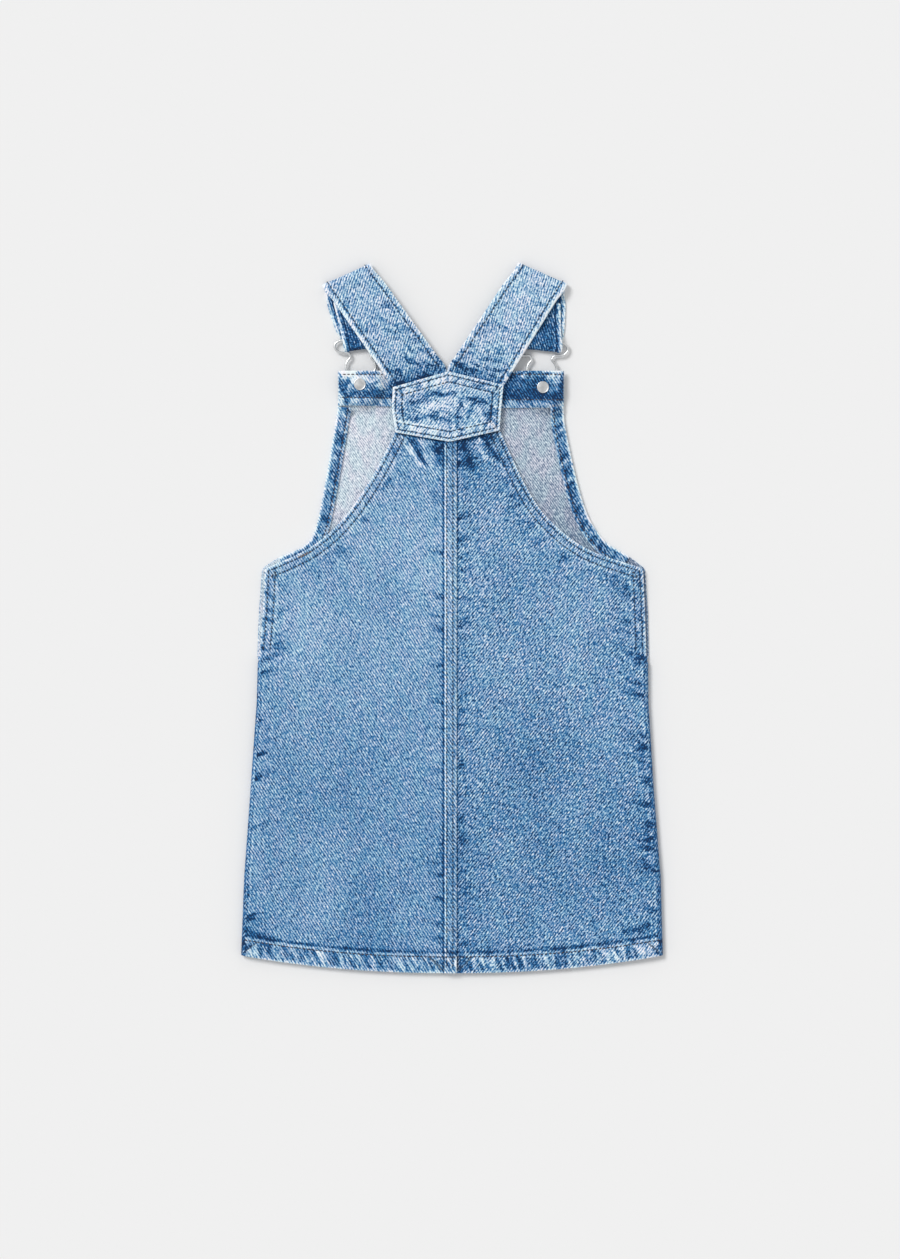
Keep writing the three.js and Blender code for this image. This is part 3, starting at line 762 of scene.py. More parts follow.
# Streaks of wear: their points, their half width and their tone, below 0 where the dye was kept.
STREAKS = {
    "yoke": [
        ([(-36, 143), (-30, 150), (-28, 155)], 1.7, -0.28),
        ([(-27, 149), (-18, 153), (-9, 156), (3, 155)], 1.9, -0.32),
        ([(12, 153), (17, 151), (22, 149)], 1.8, -0.28),
        ([(-25, 138), (-13, 140), (-2, 138)], 1.7, -0.33),
        ([(3, 134), (5, 142), (7, 149)], 1.7, -0.33),
        ([(11, 136), (13, 145), (18, 153)], 1.4, -0.28),
        ([(25, 138), (27, 147), (26, 154)], 1.5, -0.28),
        ([(-20, 146), (-8, 149), (2, 147)], 2.2, 0.14),
        ([(-33, 135), (-20, 132), (-8, 130)], 2.0, 0.14),
    ],
    "back_left": [
        ([(-143, -219), (-136, -222), (-127, -224)], 2.2, -0.36),
        ([(-33, 124), (-29, 117), (-23, 108)], 1.7, 0.34),
        ([(-22, 123), (-19, 115), (-15, 106)], 1.5, 0.3),
        ([(-27, 124), (-23, 116), (-18, 108)], 2.4, -0.4),
        ([(-12, 124), (-10, 117), (-8, 110)], 2.4, -0.36),
    ],
    "back_right": [
        ([(137, -216), (130, -219), (121, -221)], 1.8, -0.32),
        ([(8, 124), (11, 115), (14, 106)], 2.6, -0.4),
        ([(18, 125), (20, 117), (25, 109)], 1.6, 0.3),
        ([(24, 126), (28, 118), (33, 111)], 2.2, -0.36),
    ],
}


def streaked(piece, x, y, seed):
    """The tone of a piece's streaks, bent and ragged as wear is."""
    sway = 5 * (clouds(x, y, 7, seed, 2) - 0.5), 5 * (clouds(x, y, 6, seed + 3, 2) - 0.5)
    bent = np.stack([x + sway[0], y + sway[1]], -1)
    ragged = 0.5 + 1.1 * clouds(x, y, 3.2, seed + 7, 2)
    total = np.zeros(x.shape)
    for points, width, tone in STREAKS[piece]:
        away = polyline_distance(bent, catmull(points, 6))[0]
        total += tone * ragged * np.exp(-((away / width) ** 2))
    return total


BIB = {side: catmull(points) for side, points in BIB_SIDE.items()}
ARM = {side: catmull(points) for side, points in BACK_ARMHOLE.items()}
SIGN = {"left": -1, "right": 1}


# ---------------------------------------------------------------- front panel
def front_point(side, level, along):
    """x, y and z of a place on the front, and its x with the side fold unrolled."""
    sign = SIGN[side]
    in_skirt = level <= OPEN_TOP
    outline = table_at(SIDES, level, side) if in_skirt else x_at(BIB[side], level)
    flat_x = outline - sign * along
    weight = float(folded(level)) if in_skirt else 0.0
    if weight == 0:
        return np.stack([flat_x, level_to_y(flat_x, level), bib_lift(flat_x, level), flat_x], -1)
    inset = abs(outline - table_at(SIDES, level, "back_" + side))
    turn = math.pi - math.asin((FOLD - inset) / FOLD) - SEAM_GAP / FOLD
    angle = np.maximum(0, turn - along / FOLD)
    past = np.maximum(0, along - turn * FOLD)
    x = outline - sign * (FOLD + past - FOLD * np.sin(angle))
    mixed = flat_x * (1 - weight) + x * weight
    unrolled = flat_x * (1 - weight) + (outline - sign * (FOLD + along - turn * FOLD)) * weight
    return np.stack([mixed, level_to_y(mixed, level), weight * FOLD * (1 - np.cos(angle)), unrolled], -1)


def front_columns(side, level):
    """One row of the front from a side's edge to the middle, and how far in each place is."""
    well_in = 40
    length = well_in + abs(float(front_point(side, level, np.array(float(well_in)))[0]))
    edge = np.linspace(0, 12, 17)
    middle = 12 + (length - 12) * np.arange(1, 62) / 61
    return front_point(side, level, np.concatenate([edge, middle])), np.concatenate([edge, middle])


def front_rows(levels):
    """The front's places row by row, and how far each is from its nearer side edge."""
    rows, inward = [], []
    for level in levels:
        right, d = front_columns("right", level)
        left = front_columns("left", level)[0]
        rows.append(np.concatenate([right, left[::-1][1:]]))
        inward.append(np.concatenate([d, d[::-1][1:]]))
    return np.array(rows), np.array(inward)


def make_front():
    """The front panel and its bib, outer side down, wrapped up round the side folds."""
    levels = np.concatenate([np.arange(SIDE_FOOT, -40, 2.2), np.arange(-40, -20, 1.2),
                             np.arange(-20, BIB_TOP, 2.2), [BIB_TOP]])
    places, d = front_rows(levels)
    grid, x, y = places[..., :3].copy(), places[..., 0], places[..., 1]
    unrolled = places[..., [3, 1]]
    look = Look(x.shape)
    height, look.fade = creased("front_panel", x, y)
    grid[..., 2] += np.maximum(height, 0) * smoothstep(d, 14, 34) * 0.7
    skirt = 1 - smoothstep(np.broadcast_to(levels[:, None], d.shape), -30, -24)
    bib = smoothstep(y, 30, 40)
    up = y - hem_at(x)
    by_hem = 1 - smoothstep(up, 24, 30)
    look.edge(up, x, 3, HEM_DEPTH, (HEM_DEPTH,), ridge=0.2, rope=0.16, base=-0.08, within=by_hem)
    look.edge(d, y, 5, BIB_HEM, (BIB_HEM_ROW,), within=bib)
    # Painted shadow: the front is darkened within 6 to 10 mm of its side edges below the openings, where
    # shade falls between the back panels' edges and the side folds.
    look.fade -= skirt * 0.24 * (1 - smoothstep(d, 6, 10))
    look.seam(d, y, 7, 0.3, 6, 0, skirt)
    look.relief *= 0  # the front lies flat on the floor
    # The inside of the bib: an uneven tone that grows darker towards the right, painted shade over its lower
    # part towards the armholes, and a painted shadow just below the foot of the facing.
    inner = 0.1 * (clouds(x, y, 45, 61, 3) - 0.5) - 0.0019 * x + 0.01
    inner = inner - 0.16 * (1 - smoothstep(y - (x > 0) * 14, 30, 95))
    inner = inner - 0.1 * bell(y, BAND_BOTTOM - 3, 3)
    weaves = "denim rising left", "denim wrong side"
    obj = cloth_piece("denim_front", grid, CLOTH, look, *weaves, unrolled, inner)
    settle(obj, "front_panel")
    return obj


# ---------------------------------------------------------------- bib facing and turned armhole edges
def facing_foot(u):
    """The foot of the bib's facing, u from -1 at its left end to 1 at its right."""
    return 148.3 * (1 - u) / 2 + 146.4 * (1 + u) / 2


def make_facing():
    """The facing inside the bib's top, dark with pale worn patches."""
    across, steps = np.linspace(-1, 1, 190), np.linspace(0, 1, 34)
    u = np.broadcast_to(across[None, :], (34, 190))
    y = facing_foot(u) * (1 - steps[:, None]) + BIB_TOP * steps[:, None]
    x = np.where(u < 0, x_at(BIB["left"], y), x_at(BIB["right"], y)) * np.abs(u)
    look = Look(x.shape)
    from_top, from_foot = BIB_TOP - y, y - facing_foot(u)
    from_side = np.abs(np.where(x < 0, x_at(BIB["left"], y), x_at(BIB["right"], y)) - x)
    worn = smoothstep(clouds(x, y, 9, 79, 3), 0.42, 0.6)
    left_more = smoothstep(-x, -40, 66)
    look.fade += -0.2 - 0.17 * smoothstep(x, -10, 30) - 0.1 * bell(from_foot, 8.5, 3)
    look.dye += 0.2
    look.fade += (0.1 + 0.56 * left_more) * worn * (1 - smoothstep(from_top, 6, 20))
    look.fade += 0.42 * worn * (1 - smoothstep(from_side, 4, 15))
    look.fade += 0.2 * worn * bell(from_foot, 2.5, 3)
    look.edge(from_top, x, 11, 5.4, (1.6, 4.6), ridge=0.42, rope=0.3, base=0.2, drag=0.12)
    look.edge(from_foot, x, 13, FACING_HEM, (FACING_HEM,), ridge=0.3, rope=0.3, base=0.2, drag=0.15)
    look.mottle += 0.16 + 0.06 * left_more
    look.relief += 0.5 * (clouds(x, y, 14, 73, 2) - 0.5) - 0.3 * bell(from_top, 0, 1.0)
    z = bib_lift(x, y) + 2 * CLOTH + GAP + 0.1
    grid = np.stack([x, y, z], -1)
    obj = cloth_piece("bib_facing", grid, CLOTH, look, "denim rising left", "denim wrong side")
    settle(obj, "bib_top_facing")
    return obj


def make_bib_edge(side):
    """The bib's armhole edge, turned to the inside and sewn down."""
    curve = BIB[side]
    lengths = np.concatenate([[0], np.cumsum(np.hypot(*np.diff(curve, axis=0).T))])
    u = np.linspace(0.085, 0.9, 170) * lengths[-1]
    p = np.stack([np.interp(u, lengths, curve[:, k]) for k in (0, 1)], -1)
    t = np.gradient(p, axis=0)
    t /= np.linalg.norm(t, axis=1, keepdims=True)
    n = np.stack([t[:, 1], -t[:, 0]], -1) * -SIGN[side]
    keep = (p[:, 1] + n[:, 1] * BIB_HEM < BAND_BOTTOM - GAP) & (p[:, 1] < BAND_BOTTOM - GAP)
    across = np.linspace(0, 1, 12)
    flat = p[keep][:, None, :] + n[keep][:, None, :] * (across * BIB_HEM)[None, :, None]
    s = np.broadcast_to(u[keep][:, None], flat.shape[:2])
    d = np.broadcast_to((across * BIB_HEM)[None, :], flat.shape[:2])
    look = Look(s.shape)
    look.edge(d, s, 17 if side == "left" else 19, BIB_HEM, (6.2,), ridge=0.42, rope=0.3,
              base=-0.14 if side == "left" else -0.2, drag=0)
    look.fade += 0.22 * bell(d, 6.9, 0.6) * clouds(s, 0 * s, 6, 23, 2)
    look.mottle += 0.14
    lift = np.maximum(bib_lift(flat[..., 0], flat[..., 1]), bib_lift(flat[..., 0], flat[..., 1] + 5))
    grid = np.concatenate([flat, (lift + 2 * CLOTH + GAP)[..., None]], -1)
    if side == "right":
        grid, look = grid[:, ::-1], look.flipped()
    obj = cloth_piece("bib_turned_edge_" + side, grid, CLOTH, look, "denim rising left", "denim wrong side")
    settle(obj, "bib_edge_" + side)
    return obj


# ---------------------------------------------------------------- back panels
TUCK = 6.0  # how far the back panels reach under the yoke
TOP_LEVEL = 131.0


def yoke_foot(x):
    """The yoke's pointed lower edge."""
    l, m, r = YOKE["left"][2], YOKE["middle"][2], YOKE["right"][2]
    return np.interp(x, [l[0], m[0], r[0]], [l[1], m[1], r[1]])


def back_y(x, level):
    """Rows of a back panel, bent at the top to end a tuck above the yoke's lower edge."""
    y = level_to_y(x, level)
    rise = smoothstep(level, 104, TOP_LEVEL)
    return y + rise * (yoke_foot(x) + TUCK - TOP_LEVEL)


def back_edge_line(side):
    """The stitched armhole edge, from the foot of the side opening up to the yoke."""
    low = [(float(table_at(SIDES, y, "back_" + side)), y) for y in np.arange(OPEN_BOTTOM, OPEN_TOP, 3)]
    return np.concatenate([np.array(low), ARM[side]])


def make_back(side):
    """A back panel: armhole edge, hem, side seam and its half of the felled centre seam."""
    sign, left = SIGN[side], side == "left"
    seed = 29 if left else 31
    levels = np.concatenate([SIDE_FOOT + np.arange(0, 18, 0.9), np.arange(SIDE_FOOT + 18, 30, 1.6),
                             np.arange(30, TOP_LEVEL, 1.15), [TOP_LEVEL]])
    inner_x = LAP_RIGHT if left else LAP_LEFT + 2
    rows = []
    for level in levels:
        if level <= OPEN_TOP:
            edge = float(table_at(SIDES, level, "back_" + side)) - sign * SEAM_GAP * float(folded(level))
        else:
            edge = float(x_at(ARM[side], level))
            for _ in range(3):
                edge = float(x_at(ARM[side], min(137, float(back_y(edge, level)))))
        near = np.linspace(0, 12, 18)
        span = abs(edge - inner_x)
        by_seam = np.arange(11, 0, -0.62) if left else np.arange(6, 0, -1.0)
        middle = np.linspace(near[-1], span - by_seam[0], 84)[1:-1]
        rows.append(edge - sign * np.concatenate([near, middle, span - by_seam, [span]]))
    x = np.array(rows)
    level = np.broadcast_to(levels[:, None], x.shape)
    y = back_y(x, level)
    z = np.array([back_top(side, x[i], y[i], lv) for i, lv in enumerate(levels)])
    look = Look(x.shape)
    height, look.fade = creased("back_" + side, x, y)
    from_side = np.abs(table_at(SIDES, np.minimum(level, OPEN_TOP), side)) - np.abs(x)
    skirt = 1 - smoothstep(level, OPEN_BOTTOM - 3, OPEN_BOTTOM + 3)
    steady = np.where(level < OPEN_BOTTOM, smoothstep(from_side, 8, 26), 1) * smoothstep(np.abs(x), 6, 16)
    z = z + height * steady
    look.fade += streaked("back_" + side, x, y, seed + 90)
    # Painted shade: the right back panel is darker than the left, and both grow darker towards the bottom, as
    # the light from the upper left falls off across the dress.
    look.fade += (-0.005 if left else -0.062) - 0.075 * smoothstep(-y, -80, 200)
    arm_d, arm_s = polyline_distance(np.stack([x, y], -1), back_edge_line(side))
    by_arm = (1 - smoothstep(arm_d, 24, 30)) * (1 - skirt)
    look.edge(arm_d, arm_s, seed, ARMHOLE_HEM, ARMHOLE_ROWS, ridge=0.26, rope=0.14, base=0.03, drag=0.3,
              reach=8, within=by_arm)
    up = y - hem_at(x)
    by_hem = 1 - smoothstep(up, 24, 30)
    look.edge(up, x, seed + 20, HEM_DEPTH, (HEM_DEPTH,), ridge=0.3, rope=0.42, base=0.03, drag=0.42, reach=4,
              within=by_hem)
    look.fade += 0.26 * bell(up, 12.3, 0.7) - 0.56 * bell(up, 14.2, 1.0) * clouds(x, 0 * x, 9, seed + 5, 2)
    look.relief *= smoothstep(from_side, 3, 8)
    look.seam(from_side, y, seed + 40, 0.6, 8, 2.8, skirt)
    beside_opening = smoothstep(y, -60, -20) * (1 - smoothstep(y, 20, 34))
    look.dye += 0.4 * np.exp(-np.maximum(from_side - 3, 0) / 5) * beside_opening
    look.fade += skirt * (0.1 * bell(from_side, 4.2, 0.8) - 0.2 * bell(from_side, 2.9, 0.5))
    seam = x - LAP_LEFT
    if left:
        z = z + (CLOTH + GAP) * smoothstep(x, LAP_LEFT - 1.0, LAP_LEFT + 0.2)
        band = smoothstep(seam, -0.3, 0.5)
        sewn = sum(bell(seam, row, 0.5) for row in LAP_ROWS)
        look.relief -= 0.18 * sewn
        look.rope += band * 0.14
        look.mottle += band * 0.1
        # The pale line on the lap's edge is wear; the dark line just beside it, at the foot of the lap's
        # rise, is a painted shadow.
        look.fade += 0.4 * bell(seam, 0.2, 0.55) - 0.46 * bell(seam, -1.2, 0.7)
        look.fade -= 0.12 * sewn
        look.fade += 0.12 * bell(x, LAP_RIGHT, 0.6)
        look.seam(-seam, y, seed + 60, 0.42, 6, 1.0, seam < 0)
    else:
        # Painted shadow: a thin dark line on the right panel along the foot of the lap's raised edge.
        look.fade -= 0.26 * bell(x, LAP_RIGHT + 0.7, 0.6)
        look.seam(x - LAP_RIGHT, y, seed + 60, 0.42, 6, 0.8)
    below = yoke_foot(x) - y
    # Painted shadow: a thin dark line on the back panel just below the yoke's raised lower edge.
    look.fade -= 0.32 * bell(below, 0.4, 1.1)
    look.mottle += 0.16 * np.exp(-np.maximum(below, 0) / 11) * smoothstep(y, 90, 110)
    look.dye += 0.42 * np.exp(-np.maximum(below, 0) / 9) * smoothstep(y, 90, 110)
    look.seam(below, x + 0.8 * y, seed + 80, 0.4, 14, 0.5, smoothstep(y, 80, 100))
    grid = np.stack([x, y, z], -1)
    if not left:
        grid, look = grid[:, ::-1], look.flipped()
    weave = "denim rising left" if left else "denim rising right"
    obj = cloth_piece("denim_back_" + side, grid, CLOTH, look, weave, "denim wrong side")
    settle(obj, "back_" + side)
    return obj


# ---------------------------------------------------------------- yoke
def yoke_point(u, v):
    """u from -1 at the left edge to 1 at the right, v from 0 at the top to 1 at the foot."""
    def down(points):
        return np.array([np.interp(v, [0, 0.5, 1], [p[k] for p in points]) for k in (0, 1)])

    side = down(YOKE["left"]) if u < 0 else down(YOKE["right"])
    return down(YOKE["middle"]) * (1 - abs(u)) + side * abs(u)


def make_yoke():
    """The six-sided back yoke."""
    us, vs = np.linspace(-1, 1, 125), np.linspace(1, 0, 77)
    flat = np.array([[yoke_point(u, v) for u in us] for v in vs])
    outline = np.array([yoke_point(u, v) for u, v in
                        [(-1, 0), (0, 0), (1, 0), (1, 0.5), (1, 1), (0, 1), (-1, 1), (-1, 0.5), (-1, 0)]])
    d, s = polyline_distance(flat, outline)
    x, y = flat[..., 0], flat[..., 1]
    look = Look(x.shape)
    look.edge(d, s, 37, YOKE_HEM, YOKE_ROWS, ridge=0.16, rope=0.34, base=0.08, drag=0.24, reach=4)
    at_sides = smoothstep(np.abs(us), 0.9, 1.0)[None, :]
    look.fade += 0.2 * bell(d, 0.4, 1.2) * at_sides + 0.1
    look.fade += streaked("yoke", x, y, 83) + 0.05
    look.fade -= 0.2 * sum(bell(d, row, 0.6) for row in YOKE_ROWS)
    look.mottle += 0.13
    look.dye += 0.3 * smoothstep(d, 1.0, 4.0)
    look.relief += 0.5 * (clouds(x, y, 12, 47, 2) - 0.5)
    z = np.broadcast_to(YOKE_TOP - 0.5 * us[None, :] ** 2 + 0.1, x.shape)
    grid = np.stack([x, y, z], -1)
    obj = cloth_piece("denim_yoke", grid, CLOTH, look, "denim rising right", "denim wrong side")
    settle(obj, "back_yoke")
    return obj


# ---------------------------------------------------------------- straps
def lengths_along(points):
    """How far along its chords each point lies."""
    return np.concatenate([[0], np.cumsum(np.linalg.norm(np.diff(points, axis=0), axis=1))])


def smooth_through(p, t, where):
    """A smooth curve that passes the points p at the lengths t, read off at other lengths."""
    m = np.gradient(p, t, axis=0)
    i = np.clip(np.searchsorted(t, where, side="right") - 1, 0, len(t) - 2)
    h = (t[i + 1] - t[i])[:, None]
    s = ((where - t[i]) / h[:, 0])[:, None]
    return ((2 * s**3 - 3 * s**2 + 1) * p[i] + (s**3 - 2 * s**2 + s) * h * m[i]
            + (-2 * s**3 + 3 * s**2) * p[i + 1] + (s**3 - s**2) * h * m[i + 1])


def chord_curve(points, step):
    """A smooth curve through unevenly spaced points, cut into about equal steps."""
    p = np.asarray(points, float)
    t = lengths_along(p)
    return smooth_through(p, t, np.linspace(0, t[-1], int(t[-1] / step) + 2))


def fold_stations(line, sense, from_top):
    """Stations round a half turn, its line the outermost one and its height the outer one."""
    arm, neck, height = line
    d = np.array([neck[0] - arm[0], neck[1] - arm[1]])
    d = d / np.hypot(*d)
    n = np.array([d[1], -d[0]])
    if n[1] * sense < 0:
        n = -n
    radius = height / 2
    out = []
    for angle in np.linspace(0, math.pi, 9):
        back = n * radius * (1 - math.sin(angle))
        z = radius + radius * math.cos(angle) * (1 if from_top else -1)
        out.append(([arm[0] + back[0], arm[1] + back[1], z], [neck[0] + back[0], neck[1] + back[1], z]))
    return out


def make_strap(side):
    """A doubled strap, from under the yoke over its shoulder fold and round the bar of its buckle."""
    shape = STRAPS[side]
    stations = [([*a, z], [*n, z]) for a, n, z in shape["back"]]
    stations += fold_stations(shape["shoulder"], -1, True)
    stations += [([*a, 0], [*n, 0]) for a, n in shape["front"]]
    stations += fold_stations(shape["bar"], 1, False)
    stations += [([*a, z], [*n, z]) for a, n, z in shape["tail"]]
    middle = np.array([(np.array(a) + np.array(n)) / 2 for a, n in stations])
    t = lengths_along(middle)
    where = np.linspace(0, t[-1], int(t[-1] / 1.1))
    arm, neck = (smooth_through(np.array([s[k] for s in stations], float), t, where) for k in (0, 1))
    w = np.linspace(0, 1, 49)
    grid = arm[:, None, :] * (1 - w)[None, :, None] + neck[:, None, :] * w[None, :, None]
    width = np.linalg.norm(neck - arm, axis=1)[:, None]
    d = np.minimum(w, 1 - w)[None, :] * width
    s = np.broadcast_to(where[:, None], d.shape)
    seed = 53 if side == "left" else 59
    by_arm = np.broadcast_to((w < 0.5)[None, :], d.shape)
    look = Look(d.shape)
    look.edge(d, s + 400 * by_arm, seed, 4.2, (3.4,), ridge=0.22, rope=0.14, base=0.03, drag=0.26, reach=5)
    look.fade += 0.24 * by_arm * bell(d, 0.5, 1.4) * (0.5 + clouds(s, 0 * s, 12, seed, 2))
    look.fade += (0.1 if side == "left" else 0.15) - 0.24 * bell(d, 3.5, 0.55)
    from_yoke = s - t[2]
    blots = 0.35 + clouds(s, d + 90 * by_arm, 7, seed + 2, 2)
    # Darker just above the yoke's top edge: partly dye kept there, partly a painted shadow of the yoke's
    # edge.
    look.fade -= 0.42 * np.exp(-np.maximum(from_yoke, 0) / 6) * blots
    look.mottle += 0.14
    look.dye += 0.2 + 0.42 * np.exp(-np.maximum(from_yoke, 0) / 14) - 0.1 * smoothstep(s, t[6], t[8])
    look.relief += 0.4 * (clouds(s, d + 40 * by_arm, 18, seed, 2) - 0.5) + 0.15 * bell(d, 1.6, 1.6)
    front_from = t[len(shape["back"]) + 4]
    on_front = smoothstep(s, front_from - 1, front_from + 1)
    # Painted shade: from the middle of the shoulder fold on, the strap's front run and tail are darkened all
    # over except at their edges.
    look.fade -= 0.4 * on_front * (1 - 0.7 * bell(d, 0.3, 0.9))
    look.mottle *= 1 - 0.5 * on_front
    plan = np.stack([np.where(on_front > 0.5, -grid[..., 0], grid[..., 0]), grid[..., 1]], -1)
    if side == "right":
        grid, look, plan = grid[:, ::-1], look.flipped(), plan[:, ::-1]
    weave = "denim along strap"
    obj = cloth_piece("denim_strap_" + side, grid, STRAP_PLY, look, weave, weave, uv=plan)
    settle(obj, "strap_" + side)
    return obj


# ---------------------------------------------------------------- buckles and buttons
def smooth_mesh(name, vertices, faces, material):
    """A smooth mesh object of one finish."""
    mesh = bpy.data.meshes.new(name)
    mesh.from_pydata([tuple(v) for v in vertices], [], [tuple(f) for f in faces])
    mesh.materials.append(finish(material))
    mesh.polygons.foreach_set("use_smooth", np.ones(len(mesh.polygons), dtype=bool))
    mesh.update()
    obj = bpy.data.objects.new(name, mesh)
    bpy.context.scene.collection.objects.link(obj)
    return obj


def make_buckle(side):
    """A buckle of one bent wire, its bar in the strap's fold and its neck round the button."""
    cx, cy = BUCKLE_AT[side]
    half = [(cx + x, cy + y, WIRE_HEIGHT) for x, y in WIRE_HALF]
    other = [(cx - x, cy + y, WIRE_HEIGHT) for x, y in WIRE_HALF[1:-1]][::-1]
    loop = half + other
    path = chord_curve(loop[-3:] + loop + loop[:4], 0.4)
    start = np.argmin(np.linalg.norm(path[:60] - np.array(loop[0]), axis=1))
    rest = path[start + 20:]
    end = start + 20 + np.argmin(np.linalg.norm(rest - np.array(loop[0]), axis=1))
    ring = path[start:end]
    tangent = np.roll(ring, -1, 0) - np.roll(ring, 1, 0)
    tangent /= np.linalg.norm(tangent, axis=1, keepdims=True)
    out = np.stack([tangent[:, 1], -tangent[:, 0], np.zeros(len(ring))], -1)
    sides, n = 14, len(ring)
    vertices, faces = [], []
    for centre, o in zip(ring, out):
        for k in range(sides):
            a = 2 * math.pi * k / sides
            round_wire = o * math.cos(a) + np.array([0, 0, math.sin(a)])
            vertices.append((centre + WIRE_RADIUS * round_wire) * MM)
    for i in range(n):
        for k in range(sides):
            a, b = i * sides + k, ((i + 1) % n) * sides + k
            c, d = ((i + 1) % n) * sides + (k + 1) % sides, i * sides + (k + 1) % sides
            faces.append((a, b, c, d))
    obj = smooth_mesh("wire_buckle_" + side, vertices, faces, "nickel")
    take_place(obj, "buckle_" + side)


def make_button(side):
    """A tack button turned from its profile: head on the floor, neck, and its nail's cap on the facing."""
    x, y = BUTTON_AT[side]
    foot = BIB_LIFT + 2 * CLOTH + GAP + 0.2
    profile = [(0, 0.05), (4, 0.02), (6.6, 0.0), (7.4, 0.1), (7.85, 0.45), (8, 0.9), (7.8, 1.4), (7.3, 1.7),
               (5, 1.72), (1.9, 1.75), (1.7, 2.1), (1.7, 3.9), (1.3, 4.2), (1.3, foot), (3.6, foot + 0.02),
               (4.1, foot + 0.12), (4.2, foot + 0.4), (4.12, foot + 0.72), (3.95, foot + 0.86),
               (3.7, foot + 0.84), (3.5, foot + 0.76), (3.2, foot + 0.78), (1.6, foot + 0.86),
               (0, foot + 0.88)]
    sides = 56
    vertices = [(x * MM, y * MM, profile[0][1] * MM)]
    for r, z in profile[1:-1]:
        vertices += [((x + r * math.cos(2 * math.pi * k / sides)) * MM,
                      (y + r * math.sin(2 * math.pi * k / sides)) * MM, z * MM) for k in range(sides)]
    vertices.append((x * MM, y * MM, profile[-1][1] * MM))
    faces = []
    for k in range(sides):
        after = (k + 1) % sides
        faces.append((0, 1 + after, 1 + k))
        for i in range(len(profile) - 3):
            low, high = 1 + i * sides, 1 + (i + 1) * sides
            faces.append((low + k, low + after, high + after, high + k))
        last = 1 + (len(profile) - 3) * sides
        faces.append((last + k, last + after, len(vertices) - 1))
    obj = smooth_mesh("tack_button_" + side, vertices, faces, "nickel")
    take_place(obj, "button_" + side)


# ---------------------------------------------------------------- stitching
def stitch_tree(material):
    """Geometry nodes: one short thread on each step of the lines it is given."""
    tree = bpy.data.node_groups.new("stitch rows " + material, "GeometryNodeTree")
    face = tree.interface
    face.new_socket("Lines", in_out="INPUT", socket_type="NodeSocketGeometry")
    for name, value in (("Pitch", 0.0028), ("Thread length", 0.0022), ("Thread radius", 0.0003)):
        socket = face.new_socket(name, in_out="INPUT", socket_type="NodeSocketFloat")
        socket.default_value = value
    seed = face.new_socket("Seed", in_out="INPUT", socket_type="NodeSocketInt")
    seed.default_value = 7
    face.new_socket("Stitches", in_out="OUTPUT", socket_type="NodeSocketGeometry")
    node, link = tree.nodes.new, tree.links.new
    given, made = node("NodeGroupInput"), node("NodeGroupOutput")
    curve = node("GeometryNodeMeshToCurve")
    link(given.outputs["Lines"], curve.inputs["Mesh"])
    step = node("GeometryNodeResampleCurve")
    step.mode = "LENGTH"
    link(curve.outputs[0], step.inputs["Curve"])
    link(given.outputs["Pitch"], step.inputs["Length"])
    thread = node("GeometryNodeMeshUVSphere")
    thread.inputs["Segments"].default_value = 8
    thread.inputs["Rings"].default_value = 6
    thread.inputs["Radius"].default_value = 1.0
    turned = node("FunctionNodeAlignRotationToVector")
    turned.axis = "X"
    turned.pivot_axis = "Z"
    tangent = node("GeometryNodeInputTangent")
    link(tangent.outputs[0], turned.inputs["Vector"])
    jitter = node("FunctionNodeRandomValue")
    jitter.data_type = "FLOAT"
    floats = [s for s in jitter.inputs if s.type == "VALUE"]
    floats[0].default_value, floats[1].default_value = 0.82, 1.08
    link(given.outputs["Seed"], jitter.inputs["Seed"])
    half = node("ShaderNodeMath")
    half.operation = "MULTIPLY"
    half.inputs[1].default_value = 0.5
    link(given.outputs["Thread length"], half.inputs[0])
    varied = node("ShaderNodeMath")
    varied.operation = "MULTIPLY"
    link(half.outputs[0], varied.inputs[0])
    link([o for o in jitter.outputs if o.type == "VALUE"][0], varied.inputs[1])
    size = node("ShaderNodeCombineXYZ")
    link(varied.outputs[0], size.inputs["X"])
    link(given.outputs["Thread radius"], size.inputs["Y"])
    link(given.outputs["Thread radius"], size.inputs["Z"])
    put = node("GeometryNodeInstanceOnPoints")
    link(step.outputs[0], put.inputs["Points"])
    link(thread.outputs["Mesh"], put.inputs["Instance"])
    link(turned.outputs[0], put.inputs["Rotation"])
    link(size.outputs[0], put.inputs["Scale"])
    real = node("GeometryNodeRealizeInstances")
    link(put.outputs[0], real.inputs[0])
    smooth = node("GeometryNodeSetShadeSmooth")
    link(real.outputs[0], smooth.inputs[0])
    painted = node("GeometryNodeSetMaterial")
    painted.inputs["Material"].default_value = finish(material)
    link(smooth.outputs[0], painted.inputs["Geometry"])
    link(painted.outputs[0], made.inputs["Stitches"])
    return tree


